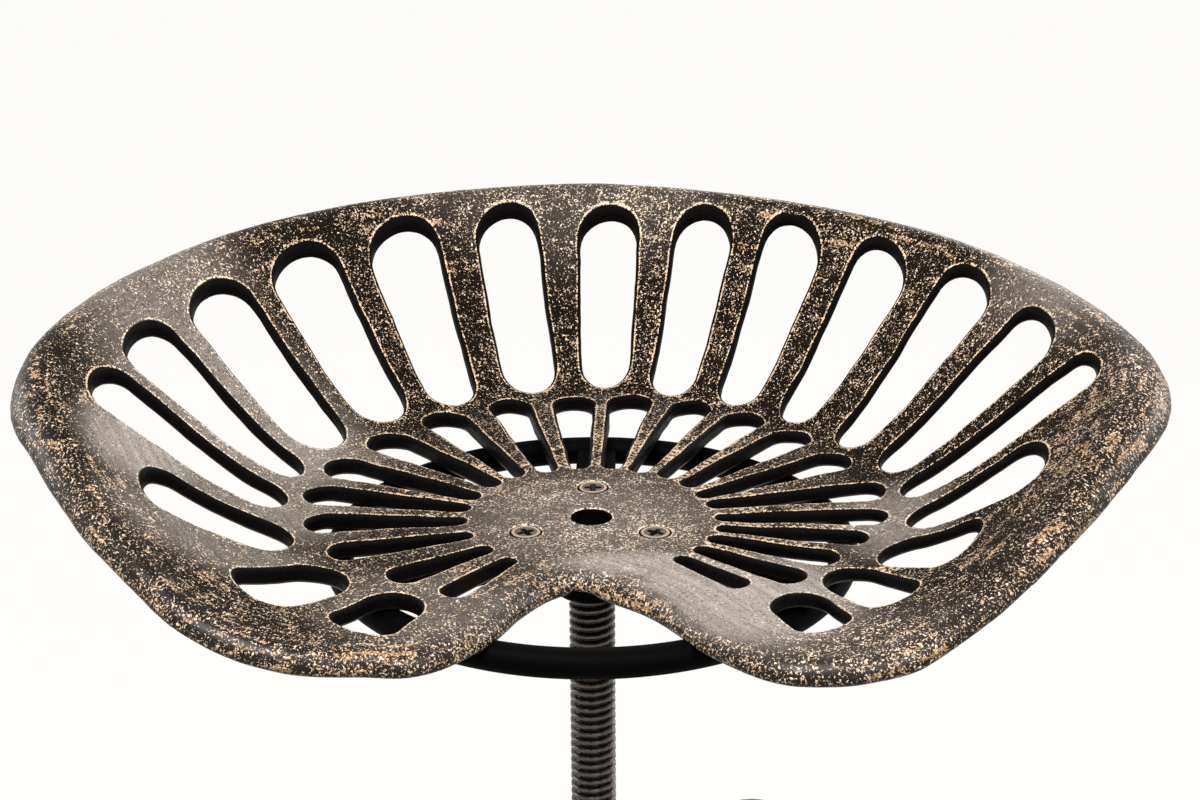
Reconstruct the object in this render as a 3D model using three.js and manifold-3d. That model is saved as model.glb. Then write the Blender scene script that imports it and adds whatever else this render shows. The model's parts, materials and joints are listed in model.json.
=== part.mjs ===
// Tractor seat stool: a slotted cast seat on a trapezoidal screw, over a four-legged base.
// Millimetres, +Z up. The screw's axis is the line x = y = 0 while the pieces are made, and +Y is
// the back of the seat. At the end the whole stool is moved so that the origin is on the floor,
// under the middle of its bounding box.
import * as THREE from 'three';
import { mergeVertices } from 'three/addons/utils/BufferGeometryUtils.js';
import Module from 'manifold-3d';

const wasm = await Module();
wasm.setup();

// General clearances
const seatGap = 0.3; // between pieces that touch on the real stool
const overrun = 5; // how far a cut runs past what it cuts

// Heights
const hubHeight = 640; // hub face above the floor, at the height photographed
const threadPitch = 4; // Tr20x4
const turnsUp = 20;
const turnsDown = 30;
const stopGap = 0.5; // left at each end of the travel

// Seat casting
const seatReach = 250; // screw axis to the rim at the widest point
const seatRise = 84; // hub face to the crest of the rim at the back
const seatWall = 7.5; // metal thickness, measured upright
const rimWall = 4.5; // metal thickness where the rim rolls over
const hubHoleRadius = 8.5;
const leastWallRun = 8; // plan length of the wall where the front notch shortens it

// Seat screws: M6 countersunk
const seatScrewRadius = 3;
const seatScrewHeadRadius = 6.3;
const seatScrewHeadDepth = 3.6;
const seatScrewCircleRadius = 31.5;
const seatScrewSink = 0.3; // head below the hub face

// Under-seat spider
const flangeRadius = 45;
const flangeThickness = 8;
const underRingRadius = 107.8;
const underRingBarRadius = 6.25;
const underRingDrop = 14.3; // hub face to the bar's centre
const spokeWidth = 18;
const spokeThickness = 4.5;

// Threaded rod and its stops
const rodRadius = 10; // crest of the thread
const rodChamfer = 2;
const rodTopDrop = 1.2; // rod end below the flange face
const rodCollarRadius = 17;
const rodCollarBottomDrop = 34.5; // hub face to the collar's lower end
const stopWasherRadius = 17;
const stopWasherThickness = 4;
const stopScrewRadius = 3;
const stopScrewHeadRadius = 5.8; // across corners
const stopScrewHeadHeight = 4;
const stopScrewDepth = 16;
const drillDepth = 20;

// Threaded boss on the base
const bossRadius = 24;
const bossHeight = 70;
const bossChamfer = 2.5;

// Legs
const legCount = 4;
const firstLegAzimuth = 51; // degrees from +X
const legTubeRadius = 12.5;
const legTubeWall = 2;
const legDrop = 47.5; // boss top to the centre of the leg's level run
const legRun = 95; // screw axis to the start of the bend
const legBendRadius = 60;
const legSplay = 10; // degrees off upright

// Glides
const glideRadius = 15;
const glidePadHeight = 10;
const glideEdge = 2;
const glideStemRadius = 7.5;
const glideStemHeight = 12;

// Foot ring and its fasteners: M6
const footRingHeight = 210;
const footRingBarRadius = 8;
const footBoltRadius = 3;
const footBoltHeadRadius = 6;
const footBoltHeadHeight = 3.4;
const footNutRadius = 5.8; // across corners
const footNutHeight = 5;
const footNutDome = 3;

// Rim of the seat seen from above: azimuth in degrees, then distance from the screw axis as a share
// of seatReach. The notch between the front lobes is at -90.
const rimEdgeShares = [
  [-90, 0.259], [-83, 0.248], [-77, 0.255], [-72, 0.277], [-67, 0.49], [-62, 0.607], [-56, 0.675],
  [-48, 0.734], [-40, 0.76], [-30, 0.798], [-20, 0.842], [-10, 0.896], [-2, 0.961], [5, 0.978],
  [14, 0.959], [28, 0.91], [45, 0.875], [65, 0.85], [90, 0.877], [115, 0.895], [135, 0.926],
  [152, 0.954], [164, 0.985], [173, 0.993], [182, 0.971], [190, 0.916], [200, 0.866], [210, 0.818],
  [220, 0.778], [230, 0.708], [238, 0.626], [244, 0.58], [250, 0.456], [256, 0.309], [262, 0.247],
];
const rimTurn = 80; // degrees that the rim rolls over, from its crest to its edge

// Section of the dish by azimuth, from the front notch at -90 round either side to the back at 90:
// where the floor starts to bend up and how far the rim hangs out past the top of the wall, as shares
// of seatReach, the height of the top of the wall as a share of seatRise, and how much of the wall's
// rise goes on getting steeper to the top, where the rest flattens out.
const sectionShares = [
  { azimuth: -90, bend: 0.164, overhang: 0.034, crest: 0.006, steep: 0.3 },
  { azimuth: -74, bend: 0.256, overhang: 0.032, crest: 0.008, steep: 0.34 },
  { azimuth: -60, bend: 0.376, overhang: 0.032, crest: 0.007, steep: 0.4 },
  { azimuth: -48, bend: 0.456, overhang: 0.036, crest: 0.06, steep: 0.48 },
  { azimuth: -36, bend: 0.48, overhang: 0.04, crest: 0.185, steep: 0.62 },
  { azimuth: -24, bend: 0.46, overhang: 0.056, crest: 0.369, steep: 0.7 },
  { azimuth: -12, bend: 0.454, overhang: 0.078, crest: 0.548, steep: 0.68 },
  { azimuth: 0, bend: 0.468, overhang: 0.094, crest: 0.714, steep: 0.56 },
  { azimuth: 12, bend: 0.484, overhang: 0.086, crest: 0.815, steep: 0.48 },
  { azimuth: 28, bend: 0.498, overhang: 0.062, crest: 0.899, steep: 0.5 },
  { azimuth: 55, bend: 0.532, overhang: 0.052, crest: 0.956, steep: 0.6 },
  { azimuth: 90, bend: 0.57, overhang: 0.053, crest: 0.976, steep: 0.6 },
];
const wallStepShares = [0, 0.2, 0.4, 0.6, 0.8, 1];
const rimStepShares = [0.3, 0.65, 1];
const wallEndShare = 0.6; // an outer slot's outer end lies on the wall, so from above it looks flatter
const floorEndShare = 0.9;

// Slots: azimuths of the inner and the outer end in degrees, then the radii of both ends and the half
// widths at both ends as shares of seatReach.
const outerSlotShares = [
  [88.9, 88.7, 0.6, 0.806, 0.047, 0.056], [102, 103.4, 0.589, 0.819, 0.052, 0.059],
  [117.2, 118.6, 0.576, 0.83, 0.05, 0.07], [131.8, 133.8, 0.57, 0.84, 0.06, 0.074],
  [148.1, 148.7, 0.557, 0.843, 0.066, 0.076], [162.4, 163.2, 0.548, 0.854, 0.038, 0.071],
  [175.7, 175, 0.534, 0.855, 0.048, 0.063], [193, 190.4, 0.512, 0.746, 0.058, 0.067],
  [209.4, 213.6, 0.466, 0.642, 0.058, 0.062], [227.4, 230.8, 0.422, 0.568, 0.05, 0.056],
  [76.8, 74.4, 0.582, 0.795, 0.043, 0.056], [64, 60.6, 0.573, 0.796, 0.042, 0.06],
  [50.6, 46.2, 0.561, 0.802, 0.04, 0.061], [34.7, 31.9, 0.545, 0.824, 0.04, 0.063],
  [20.6, 17.8, 0.547, 0.841, 0.046, 0.062], [8.3, 6.4, 0.545, 0.864, 0.037, 0.043],
  [-5, -5.8, 0.54, 0.757, 0.052, 0.078], [-17.6, -20.9, 0.508, 0.662, 0.048, 0.066],
  [-28.1, -35.9, 0.458, 0.609, 0.046, 0.046], [-43.5, -48.9, 0.443, 0.574, 0.046, 0.044],
];
const innerSlotShares = [
  [96.9, 95, 0.2145, 0.56, 0.0145, 0.037], [112.5, 108, 0.2155, 0.566, 0.0165, 0.0355],
  [128, 122.8, 0.2205, 0.5545, 0.0165, 0.039], [141.8, 138.8, 0.217, 0.5345, 0.015, 0.041],
  [157.8, 154.7, 0.216, 0.525, 0.0145, 0.0385], [171.3, 169.2, 0.216, 0.508, 0.0135, 0.036],
  [185.2, 183.6, 0.216, 0.484, 0.0115, 0.0335], [201, 199.4, 0.216, 0.454, 0.011, 0.031],
  [218, 218.1, 0.211, 0.402, 0.0115, 0.0275], [233.5, 234.3, 0.214, 0.378, 0.011, 0.0215],
  [81.9, 83.5, 0.215, 0.5695, 0.0145, 0.0375], [68.8, 70.7, 0.2115, 0.563, 0.0155, 0.035],
  [53.8, 58.3, 0.213, 0.5485, 0.017, 0.0365], [39.6, 44.8, 0.211, 0.533, 0.015, 0.036],
  [25.2, 29.9, 0.2055, 0.518, 0.013, 0.0345], [14, 12.8, 0.208, 0.518, 0.0125, 0.034],
  [-0.8, 0.3, 0.216, 0.5, 0.0115, 0.0285], [-12.6, -10.8, 0.222, 0.469, 0.0105, 0.0255],
  [-23.6, -22.8, 0.219, 0.439, 0.0105, 0.0265], [-35.8, -35.6, 0.22, 0.424, 0.0115, 0.0265],
  [-48.6, -47, 0.22, 0.368, 0.0105, 0.0165],
];

// Facets
const rimPointsPerStation = 2;
const slotArcSteps = 3;
const screwSides = 12;
const roundSides = 28;
const underRingSteps = 48;
const footRingSteps = 64;
const ringSides = 10;
const legSides = 10;
const legBendSteps = 5;
const glideSides = 16;

const rad = THREE.MathUtils.degToRad;

// Levels worked out from the sizes above
const travelUp = turnsUp * threadPitch;
const travelDown = turnsDown * threadPitch;
const hubUnderside = hubHeight - seatWall;
const flangeTop = hubUnderside - seatGap;
const flangeBottom = flangeTop - flangeThickness;
const rodCollarBottom = hubHeight - rodCollarBottomDrop;
const bossTop = rodCollarBottom - travelDown - stopGap;
const bossBottom = bossTop - bossHeight;
const rodTop = flangeTop - rodTopDrop;
const rodBottom = bossBottom - travelUp - stopGap;
const boreRadius = rodRadius + seatGap;
const legCentreHeight = bossTop - legDrop;

function material(color, roughness, metalness) {
  return new THREE.MeshStandardMaterial({ color, roughness, metalness });
}

const castCopper = material(0x3a2e26, 0.55, 0.8);
const nickelScrew = material(0x6a6152, 0.4, 0.9);
const blackPaint = material(0x101010, 0.3, 0.2);
const darkSteel = material(0x3b3a38, 0.35, 0.9);
const zincSteel = material(0x8c8c88, 0.4, 0.9);
const blackNylon = material(0x161616, 0.7, 0);

const stool = new THREE.Group();

function addPiece(name, geometry, finish, parent = stool) {
  const mesh = new THREE.Mesh(geometry, finish);
  mesh.name = name;
  parent.add(mesh);
  return mesh;
}

function groupTurned(azimuth) {
  const group = new THREE.Group();
  group.rotation.z = rad(azimuth);
  stool.add(group);
  return group;
}

// A place seen from above, by its distance from the screw's axis and its azimuth.
function placeAt(radius, azimuth) {
  return new THREE.Vector2(radius * Math.cos(rad(azimuth)), radius * Math.sin(rad(azimuth)));
}

// A solid for cutting, from a closed three.js geometry.
function solidOf(geometry) {
  const bare = geometry.clone();
  bare.deleteAttribute('normal');
  bare.deleteAttribute('uv');
  const merged = mergeVertices(bare);
  return new wasm.Manifold(new wasm.Mesh({
    numProp: 3,
    vertProperties: Float32Array.from(merged.attributes.position.array),
    triVerts: Uint32Array.from(merged.index.array),
  }));
}

function geometryOf(solid) {
  const mesh = solid.getMesh();
  const geometry = new THREE.BufferGeometry();
  geometry.setAttribute('position', new THREE.BufferAttribute(Float32Array.from(mesh.vertProperties), 3));
  geometry.setIndex(new THREE.BufferAttribute(Uint32Array.from(mesh.triVerts), 1));
  geometry.computeVertexNormals();
  return geometry;
}

function cut(geometry, cutters) {
  return geometryOf(cutters.reduce((left, cutter) => left.subtract(solidOf(cutter)), solidOf(geometry)));
}

// A closed skin over rings of points: each ring joins the next, and the last joins the first.
function skinOver(rings) {
  const count = rings[0].length;
  const index = [];
  rings.forEach((ring, i) => {
    const next = (i + 1) % rings.length;
    for (let j = 0; j < count; j += 1) {
      const k = (j + 1) % count;
      index.push(i * count + j, next * count + j, next * count + k);
      index.push(i * count + j, next * count + k, i * count + k);
    }
  });
  const geometry = new THREE.BufferGeometry().setFromPoints(rings.flat());
  geometry.setIndex(index);
  geometry.computeVertexNormals();
  return geometry;
}

// A turned piece about +Z, from [radius, height] pairs that close on themselves or on the axis.
function turned(profile, sides = roundSides) {
  const points = profile.map(([radius, height]) => new THREE.Vector2(radius, height));
  const geometry = new THREE.LatheGeometry(points.reverse(), sides);
  geometry.rotateX(Math.PI / 2);
  return geometry;
}

// A pin along +Z for drilling holes.
function drill(radius, bottom, top, sides = screwSides) {
  return turned([[0, top], [radius, top], [radius, bottom], [0, bottom]], sides);
}

const section = new THREE.CubicInterpolant(
  sectionShares.map((row) => row.azimuth),
  sectionShares.flatMap((row) => [row.bend, row.overhang, row.crest, row.steep]),
  4,
);

// Radii, height and slope of the dish in the direction of one point of the rim.
function sectionAt(rimPoint) {
  const azimuth = THREE.MathUtils.radToDeg(Math.asin(rimPoint.y / Math.hypot(rimPoint.x, rimPoint.y)));
  const [bendShare, overhangShare, crestShare, steep] = section.evaluate(azimuth);
  const edge = Math.hypot(rimPoint.x, rimPoint.y);
  const crest = edge - overhangShare * seatReach;
  const bend = Math.min(bendShare * seatReach, crest - leastWallRun);
  const rise = crestShare * seatRise;
  return { edge, crest, bend, rise, steep, slope: Math.atan((2 * steep * rise) / (crest - bend)) };
}

// The seat is one skin: out over the dish and the rim, and back underneath to the hub hole.
function makeSeat() {
  const stations = rimEdgeShares.map(([azimuth, share]) => {
    const { x, y } = placeAt(share * seatReach, azimuth);
    return new THREE.Vector3(x, y, 0);
  });
  const rimCurve = new THREE.CatmullRomCurve3(stations, true, 'centripetal');
  const rim = rimCurve.getPoints(stations.length * rimPointsPerStation).slice(0, -1);
  const ring = (place) => rim.map((point) => {
    const { radius, height } = place(sectionAt(point));
    return point.clone().setLength(radius).setZ(hubHeight + height);
  });
  const hole = (height) => ring(() => ({ radius: hubHoleRadius, height }));
  const wall = (share, thickness) => ring(({ bend, crest, rise, steep }) => ({
    radius: THREE.MathUtils.lerp(bend, crest, share),
    height: rise * share * share * THREE.MathUtils.lerp(3 - 2 * share, 1, steep) - thickness,
  }));
  const roll = (share, thickness) => ring(({ crest, edge, rise, slope }) => {
    const rollRadius = (edge - crest) / (Math.sin(slope) + Math.sin(rad(rimTurn)));
    const turn = THREE.MathUtils.lerp(-slope, rad(rimTurn), share);
    return {
      radius: crest + rollRadius * Math.sin(slope) + (rollRadius - thickness) * Math.sin(turn),
      height: rise - rollRadius * Math.cos(slope) + (rollRadius - thickness) * Math.cos(turn),
    };
  });
  const upper = [hole(0), ...wallStepShares.map((s) => wall(s, 0)), ...rimStepShares.map((s) => roll(s, 0))];
  const lower = [
    ...rimStepShares.toReversed().map((s) => roll(s, rimWall)),
    ...wallStepShares.toReversed().map((s) => wall(s, seatWall)),
    hole(-seatWall),
  ];
  const cutters = [
    ...outerSlotShares.map((row) => slotCutter(row, wallEndShare)),
    ...innerSlotShares.map((row) => slotCutter(row, floorEndShare)),
    ...seatScrewPlaces.map(countersinkCutter),
  ];
  return cut(skinOver([...upper, ...lower]), cutters);
}

// An upright cutter for one slot, a taper between two half ellipses.
function slotCutter([innerAzimuth, outerAzimuth, ...lengthShares], endShare) {
  const [innerEnd, outerEnd, innerHalf, outerHalf] = lengthShares.map((share) => share * seatReach);
  const start = placeAt(innerEnd, innerAzimuth);
  const run = placeAt(outerEnd, outerAzimuth).sub(start);
  const outerDepth = outerHalf * endShare;
  const quarter = Math.PI / 2;
  const shape = new THREE.Shape();
  shape.absellipse(run.length() - outerDepth, 0, outerDepth, outerHalf, -quarter, quarter, false);
  shape.absellipse(innerHalf, 0, innerHalf, innerHalf, quarter, 3 * quarter, false);
  const depth = seatRise + 2 * (seatWall + overrun);
  const settings = { depth, bevelEnabled: false, curveSegments: slotArcSteps };
  const geometry = new THREE.ExtrudeGeometry(shape, settings).rotateZ(run.angle());
  return geometry.translate(start.x, start.y, hubHeight - seatWall - overrun);
}

const seatScrewPlaces = [90, 210, 330].map((azimuth) => placeAt(seatScrewCircleRadius, azimuth));

function countersinkCutter({ x, y }) {
  const headTop = hubHeight - seatScrewSink;
  const geometry = turned([
    [0, hubHeight + overrun],
    [seatScrewHeadRadius + seatGap, hubHeight + overrun],
    [seatScrewHeadRadius + seatGap, headTop],
    [seatScrewRadius + seatGap, headTop - seatScrewHeadDepth],
    [seatScrewRadius + seatGap, hubUnderside - overrun],
    [0, hubUnderside - overrun],
  ], screwSides);
  return geometry.translate(x, y, 0);
}

function makeSeatScrew() {
  const headTop = hubHeight - seatScrewSink;
  return turned([
    [0, headTop],
    [seatScrewHeadRadius, headTop],
    [seatScrewRadius, headTop - seatScrewHeadDepth],
    [seatScrewRadius, flangeBottom],
    [0, flangeBottom],
  ], screwSides);
}

function makeFlange() {
  const plate = turned([
    [boreRadius, flangeTop], [flangeRadius, flangeTop],
    [flangeRadius, flangeBottom], [boreRadius, flangeBottom], [boreRadius, flangeTop],
  ]);
  const holes = seatScrewPlaces.map(({ x, y }) => (
    drill(seatScrewRadius + seatGap, flangeBottom - overrun, flangeTop + overrun).translate(x, y, 0)
  ));
  return cut(plate, holes);
}

// A flat bar, hollowed at each end to sit against the flange and the ring.
function makeSpoke() {
  const half = spokeWidth / 2;
  const innerRadius = flangeRadius + seatGap;
  const outerRadius = underRingRadius - underRingBarRadius - seatGap;
  const innerTurn = Math.asin(half / innerRadius);
  const outerTurn = Math.asin(half / outerRadius);
  const shape = new THREE.Shape();
  shape.absarc(0, 0, outerRadius, -outerTurn, outerTurn, false);
  shape.absarc(0, 0, innerRadius, innerTurn, -innerTurn, true);
  const geometry = new THREE.ExtrudeGeometry(shape, {
    depth: spokeThickness, bevelEnabled: false, curveSegments: slotArcSteps,
  });
  return geometry.translate(0, 0, flangeBottom);
}

function makeRod() {
  return turned([
    [0, rodTop], [rodRadius, rodTop],
    [rodRadius, rodBottom + rodChamfer], [rodRadius - rodChamfer, rodBottom],
    [stopScrewRadius + seatGap, rodBottom], [stopScrewRadius + seatGap, rodBottom + drillDepth],
    [0, rodBottom + drillDepth],
  ]);
}

function makeRodCollar() {
  const top = flangeBottom - seatGap;
  return turned([
    [boreRadius, top], [rodCollarRadius, top], [rodCollarRadius, rodCollarBottom + rodChamfer],
    [rodCollarRadius - rodChamfer, rodCollarBottom], [boreRadius, rodCollarBottom], [boreRadius, top],
  ]);
}

function makeStopWasher() {
  const top = rodBottom - seatGap;
  const bottom = top - stopWasherThickness;
  const hole = stopScrewRadius + seatGap;
  return turned([
    [hole, top], [stopWasherRadius, top], [stopWasherRadius, bottom], [hole, bottom], [hole, top],
  ]);
}

function makeStopScrew() {
  const headTop = rodBottom - stopWasherThickness - 2 * seatGap;
  const shank = turned([
    [0, rodBottom + stopScrewDepth], [stopScrewRadius, rodBottom + stopScrewDepth],
    [stopScrewRadius, headTop - stopScrewHeadHeight / 2], [0, headTop - stopScrewHeadHeight / 2],
  ], screwSides);
  const head = drill(stopScrewHeadRadius, headTop - stopScrewHeadHeight, headTop, 6);
  return geometryOf(solidOf(shank).add(solidOf(head)));
}

function makeBoss() {
  const lip = bossRadius - bossChamfer;
  const mouth = boreRadius + bossChamfer / 2;
  return turned([
    [mouth, bossTop], [lip, bossTop], [bossRadius, bossTop - bossChamfer],
    [bossRadius, bossBottom + bossChamfer], [lip, bossBottom], [mouth, bossBottom],
    [boreRadius, bossBottom + bossChamfer / 2], [boreRadius, bossTop - bossChamfer / 2], [mouth, bossTop],
  ]);
}

const splay = rad(legSplay);
const bendTurn = Math.PI / 2 - splay;
const bendEndRadius = legRun + legBendRadius * Math.sin(bendTurn);
const bendEndHeight = legCentreHeight - legBendRadius * (1 - Math.cos(bendTurn));
const legEndHeight = glidePadHeight + seatGap;

// Distance of the leg's centre line from the screw axis, at a height on its straight part.
function legRadiusAt(height) {
  return bendEndRadius + (bendEndHeight - height) * Math.tan(splay);
}

// One ring of the leg's tube, square to its centre line in the plane y = 0.
function legRing(radius, height, turn, tubeRadius) {
  return Array.from({ length: legSides }, (_, i) => {
    const angle = (i / legSides) * 2 * Math.PI;
    const up = tubeRadius * Math.sin(angle);
    const side = -tubeRadius * Math.cos(angle);
    return new THREE.Vector3(radius + up * Math.sin(turn), side, height + up * Math.cos(turn));
  });
}

// The lower end is sawn level, to stand on its glide.
function legEndRing(tubeRadius) {
  const stretch = 1 / Math.cos(splay);
  return legRing(legRadiusAt(legEndHeight), legEndHeight, Math.PI / 2, tubeRadius).map((point) => (
    point.setX(legRadiusAt(legEndHeight) + (point.x - legRadiusAt(legEndHeight)) * stretch)
  ));
}

function makeLeg() {
  const rings = (tubeRadius) => {
    const level = legRing(0, legCentreHeight, 0, tubeRadius);
    const bend = Array.from({ length: legBendSteps + 1 }, (_, i) => {
      const turn = (bendTurn * i) / legBendSteps;
      const radius = legRun + legBendRadius * Math.sin(turn);
      const height = legCentreHeight - legBendRadius * (1 - Math.cos(turn));
      return legRing(radius, height, turn, tubeRadius);
    });
    return [level, ...bend, legEndRing(tubeRadius)];
  };
  const tube = skinOver([...rings(legTubeRadius), ...rings(legTubeRadius - legTubeWall).toReversed()]);
  const cope = drill(bossRadius + seatGap, bossBottom - overrun, bossTop + overrun, roundSides);
  return cut(tube, [cope, footBoltHole()]);
}

const footRingRadius = legRadiusAt(footRingHeight) - legTubeRadius / Math.cos(splay)
  - footRingBarRadius - seatGap;

// Both bolt and nut lie on a level line through the leg and the ring, drawn here along +X.
// The head bears on the sloping tube by its lower edge.
const footBoltSeat = legRadiusAt(footRingHeight - footBoltHeadRadius) + legTubeRadius / Math.cos(splay)
  + seatGap;
const footNutSeat = footRingRadius - footRingBarRadius - seatGap;

function alongX(geometry) {
  return geometry.rotateY(Math.PI / 2);
}

function footBoltHole() {
  const hole = drill(footBoltRadius + seatGap, 0, footBoltSeat + footBoltHeadHeight + overrun);
  return alongX(hole).translate(0, 0, footRingHeight);
}

function makeFootRing() {
  const ring = new THREE.TorusGeometry(footRingRadius, footRingBarRadius, ringSides, footRingSteps);
  ring.rotateZ(rad(firstLegAzimuth)).translate(0, 0, footRingHeight);
  const holes = legAzimuths().map((azimuth) => footBoltHole().rotateZ(rad(azimuth)));
  return cut(ring, holes);
}

function makeFootBolt() {
  const end = footNutSeat - footNutHeight;
  const dome = footBoltHeadRadius / 2;
  const bolt = turned([
    [0, footBoltSeat + footBoltHeadHeight], [dome, footBoltSeat + footBoltHeadHeight],
    [footBoltHeadRadius, footBoltSeat + footBoltHeadHeight / 3], [footBoltHeadRadius, footBoltSeat],
    [footBoltRadius, footBoltSeat], [footBoltRadius, end], [0, end],
  ], screwSides);
  return alongX(bolt).translate(0, 0, footRingHeight);
}

// A cap nut: six-sided, domed at the closed end.
function makeFootNut() {
  const end = footNutSeat - footNutHeight;
  const body = turned([
    [0, footNutSeat], [footNutRadius, footNutSeat], [footNutRadius, end],
    [footNutRadius / 2, end - footNutDome], [0, end - footNutDome],
  ], 6);
  const hole = drill(footBoltRadius + seatGap, end - seatGap, footNutSeat + overrun);
  return alongX(cut(body, [hole])).translate(0, 0, footRingHeight);
}

function makeGlide() {
  return turned([
    [0, glidePadHeight + glideStemHeight], [glideStemRadius, glidePadHeight + glideStemHeight],
    [glideStemRadius, glidePadHeight], [glideRadius - glideEdge, glidePadHeight],
    [glideRadius, glidePadHeight - glideEdge], [glideRadius, glideEdge],
    [glideRadius - glideEdge, 0], [0, 0],
  ], glideSides);
}

function legAzimuths() {
  return Array.from({ length: legCount }, (_, i) => firstLegAzimuth + (360 * i) / legCount);
}

addPiece('seat', makeSeat(), castCopper);
seatScrewPlaces.forEach(({ x, y }, i) => {
  addPiece(`seat_screw_${i + 1}`, makeSeatScrew(), nickelScrew).position.set(x, y, 0);
});
addPiece('seat_flange', makeFlange(), blackPaint);
[90, 210, 330].forEach((azimuth, i) => {
  addPiece(`spoke_${i + 1}`, makeSpoke(), blackPaint, groupTurned(azimuth));
});
const underRing = new THREE.TorusGeometry(underRingRadius, underRingBarRadius, ringSides, underRingSteps);
addPiece('under_seat_ring', underRing, blackPaint).position.z = hubHeight - underRingDrop;
addPiece('rod_collar', makeRodCollar(), blackPaint);
addPiece('threaded_rod', makeRod(), darkSteel);
addPiece('stop_washer', makeStopWasher(), zincSteel);
addPiece('stop_screw', makeStopScrew(), zincSteel);
addPiece('threaded_boss', makeBoss(), blackPaint);
addPiece('foot_ring', makeFootRing(), blackPaint);
legAzimuths().forEach((azimuth, i) => {
  const side = groupTurned(azimuth);
  addPiece(`leg_${i + 1}`, makeLeg(), blackPaint, side);
  addPiece(`foot_ring_bolt_${i + 1}`, makeFootBolt(), zincSteel, side);
  addPiece(`foot_ring_nut_${i + 1}`, makeFootNut(), zincSteel, side);
  addPiece(`glide_${i + 1}`, makeGlide(), blackNylon, side).position.x = legRadiusAt(legEndHeight);
});

stool.updateMatrixWorld(true);
const reach = new THREE.Box3().setFromObject(stool, true).getCenter(new THREE.Vector3());
stool.position.set(-reach.x, -reach.y, 0);
stool.updateMatrixWorld(true);

export default stool;
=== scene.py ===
# Tractor seat stool: a slotted cast seat on a trapezoidal screw, over a four-legged tube base.
# The pieces are drawn in millimetres about the screw's axis, from the floor up, in the order in which the
# stool is put together. made() and grown() then set each one in the frame, in metres.
import json
import math

import bmesh
import bpy
import numpy as np
from mathutils import Matrix, Vector, noise
from mathutils.geometry import delaunay_2d_cdt


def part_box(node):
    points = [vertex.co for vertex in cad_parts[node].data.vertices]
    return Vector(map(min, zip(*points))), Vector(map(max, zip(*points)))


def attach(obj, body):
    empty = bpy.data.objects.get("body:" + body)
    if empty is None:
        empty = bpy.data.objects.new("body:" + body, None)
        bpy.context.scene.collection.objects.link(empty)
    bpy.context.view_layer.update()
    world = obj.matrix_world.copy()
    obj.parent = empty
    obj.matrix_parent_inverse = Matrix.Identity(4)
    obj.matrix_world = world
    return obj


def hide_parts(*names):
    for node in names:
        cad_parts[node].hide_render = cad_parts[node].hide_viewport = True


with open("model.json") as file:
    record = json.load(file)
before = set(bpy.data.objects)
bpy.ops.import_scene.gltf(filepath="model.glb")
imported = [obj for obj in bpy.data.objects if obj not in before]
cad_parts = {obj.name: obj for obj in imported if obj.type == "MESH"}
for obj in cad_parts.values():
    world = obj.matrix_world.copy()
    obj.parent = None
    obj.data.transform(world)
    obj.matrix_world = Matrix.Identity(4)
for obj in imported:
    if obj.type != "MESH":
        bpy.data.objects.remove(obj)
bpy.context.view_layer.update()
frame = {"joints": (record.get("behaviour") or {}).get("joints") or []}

# ---- Studio ----
# A white room, as for a product photograph. A key and a fill light stand in front, one light behind and a
# strip on each side. The room is white where the camera or a shine sees it, and gives the rest a dim light,
# mostly from behind the seat.

spin = next(joint for joint in frame["joints"] if joint["name"] == "seat_spin")
screw_axis = Vector((spin["pos_m"][0], spin["pos_m"][1], 0))
hub_face = round(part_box("seat_flange")[1].z * 1000 + 7.8, 3)  # the casting is 7.5 thick there, over a 0.3 gap
wall_white, paper_white, paper_share = 0.97, 1.13, 0.85


def linear(hex_colour):
    """An sRGB hex colour as the linear RGBA that a shader takes."""
    channels = [int(hex_colour[i:i + 2], 16) / 255 for i in (0, 2, 4)]
    return [c / 12.92 if c <= 0.04045 else ((c + 0.055) / 1.055) ** 2.4 for c in channels] + [1]


def add(tree, kind, inputs=None, **settings):
    """Adds a node. By socket, inputs gives a value, a hex colour, an output, or a node for its first output."""
    node = tree.nodes.new(kind)
    for name, value in settings.items():
        setattr(node, name, value)
    for name, value in (inputs or {}).items():
        if isinstance(value, str):
            value = linear(value)
        if isinstance(value, bpy.types.Node):
            value = next(output for output in value.outputs if output.enabled)
        if isinstance(value, bpy.types.NodeSocket):
            tree.links.new(value, node.inputs[name])
        else:
            node.inputs[name].default_value = value
    return node


def seen_itself(tree):
    """1 where the camera or a shine sees a surface, and 0 where the surface only gives light."""
    ray = add(tree, "ShaderNodeLightPath").outputs
    seen = add(tree, "ShaderNodeMath", {0: ray["Is Camera Ray"], 1: ray["Is Glossy Ray"]}, operation="MAXIMUM")
    return add(tree, "ShaderNodeMath", {0: seen, 1: ray["Is Transmission Ray"]}, operation="MAXIMUM")


bpy.context.scene.view_settings.view_transform = "Standard"
room = bpy.data.worlds.new("white_room")
room.use_nodes = True
bpy.context.scene.world = room
tree = room.node_tree
tree.nodes.clear()
heading = add(tree, "ShaderNodeSeparateXYZ", {0: add(tree, "ShaderNodeTexCoord").outputs["Generated"]})
behind_seat = add(tree, "ShaderNodeMapRange", {
    0: heading.outputs["Y"], 1: -0.5, 2: 0.45, 3: 0.072, 4: 0.384}, interpolation_type="SMOOTHSTEP")
level = add(tree, "ShaderNodeMix", {0: seen_itself(tree), 2: behind_seat, 3: wall_white})
sky = add(tree, "ShaderNodeBackground", {"Color": "fffefc", "Strength": level})
add(tree, "ShaderNodeOutputWorld", {"Surface": sky})

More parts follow.
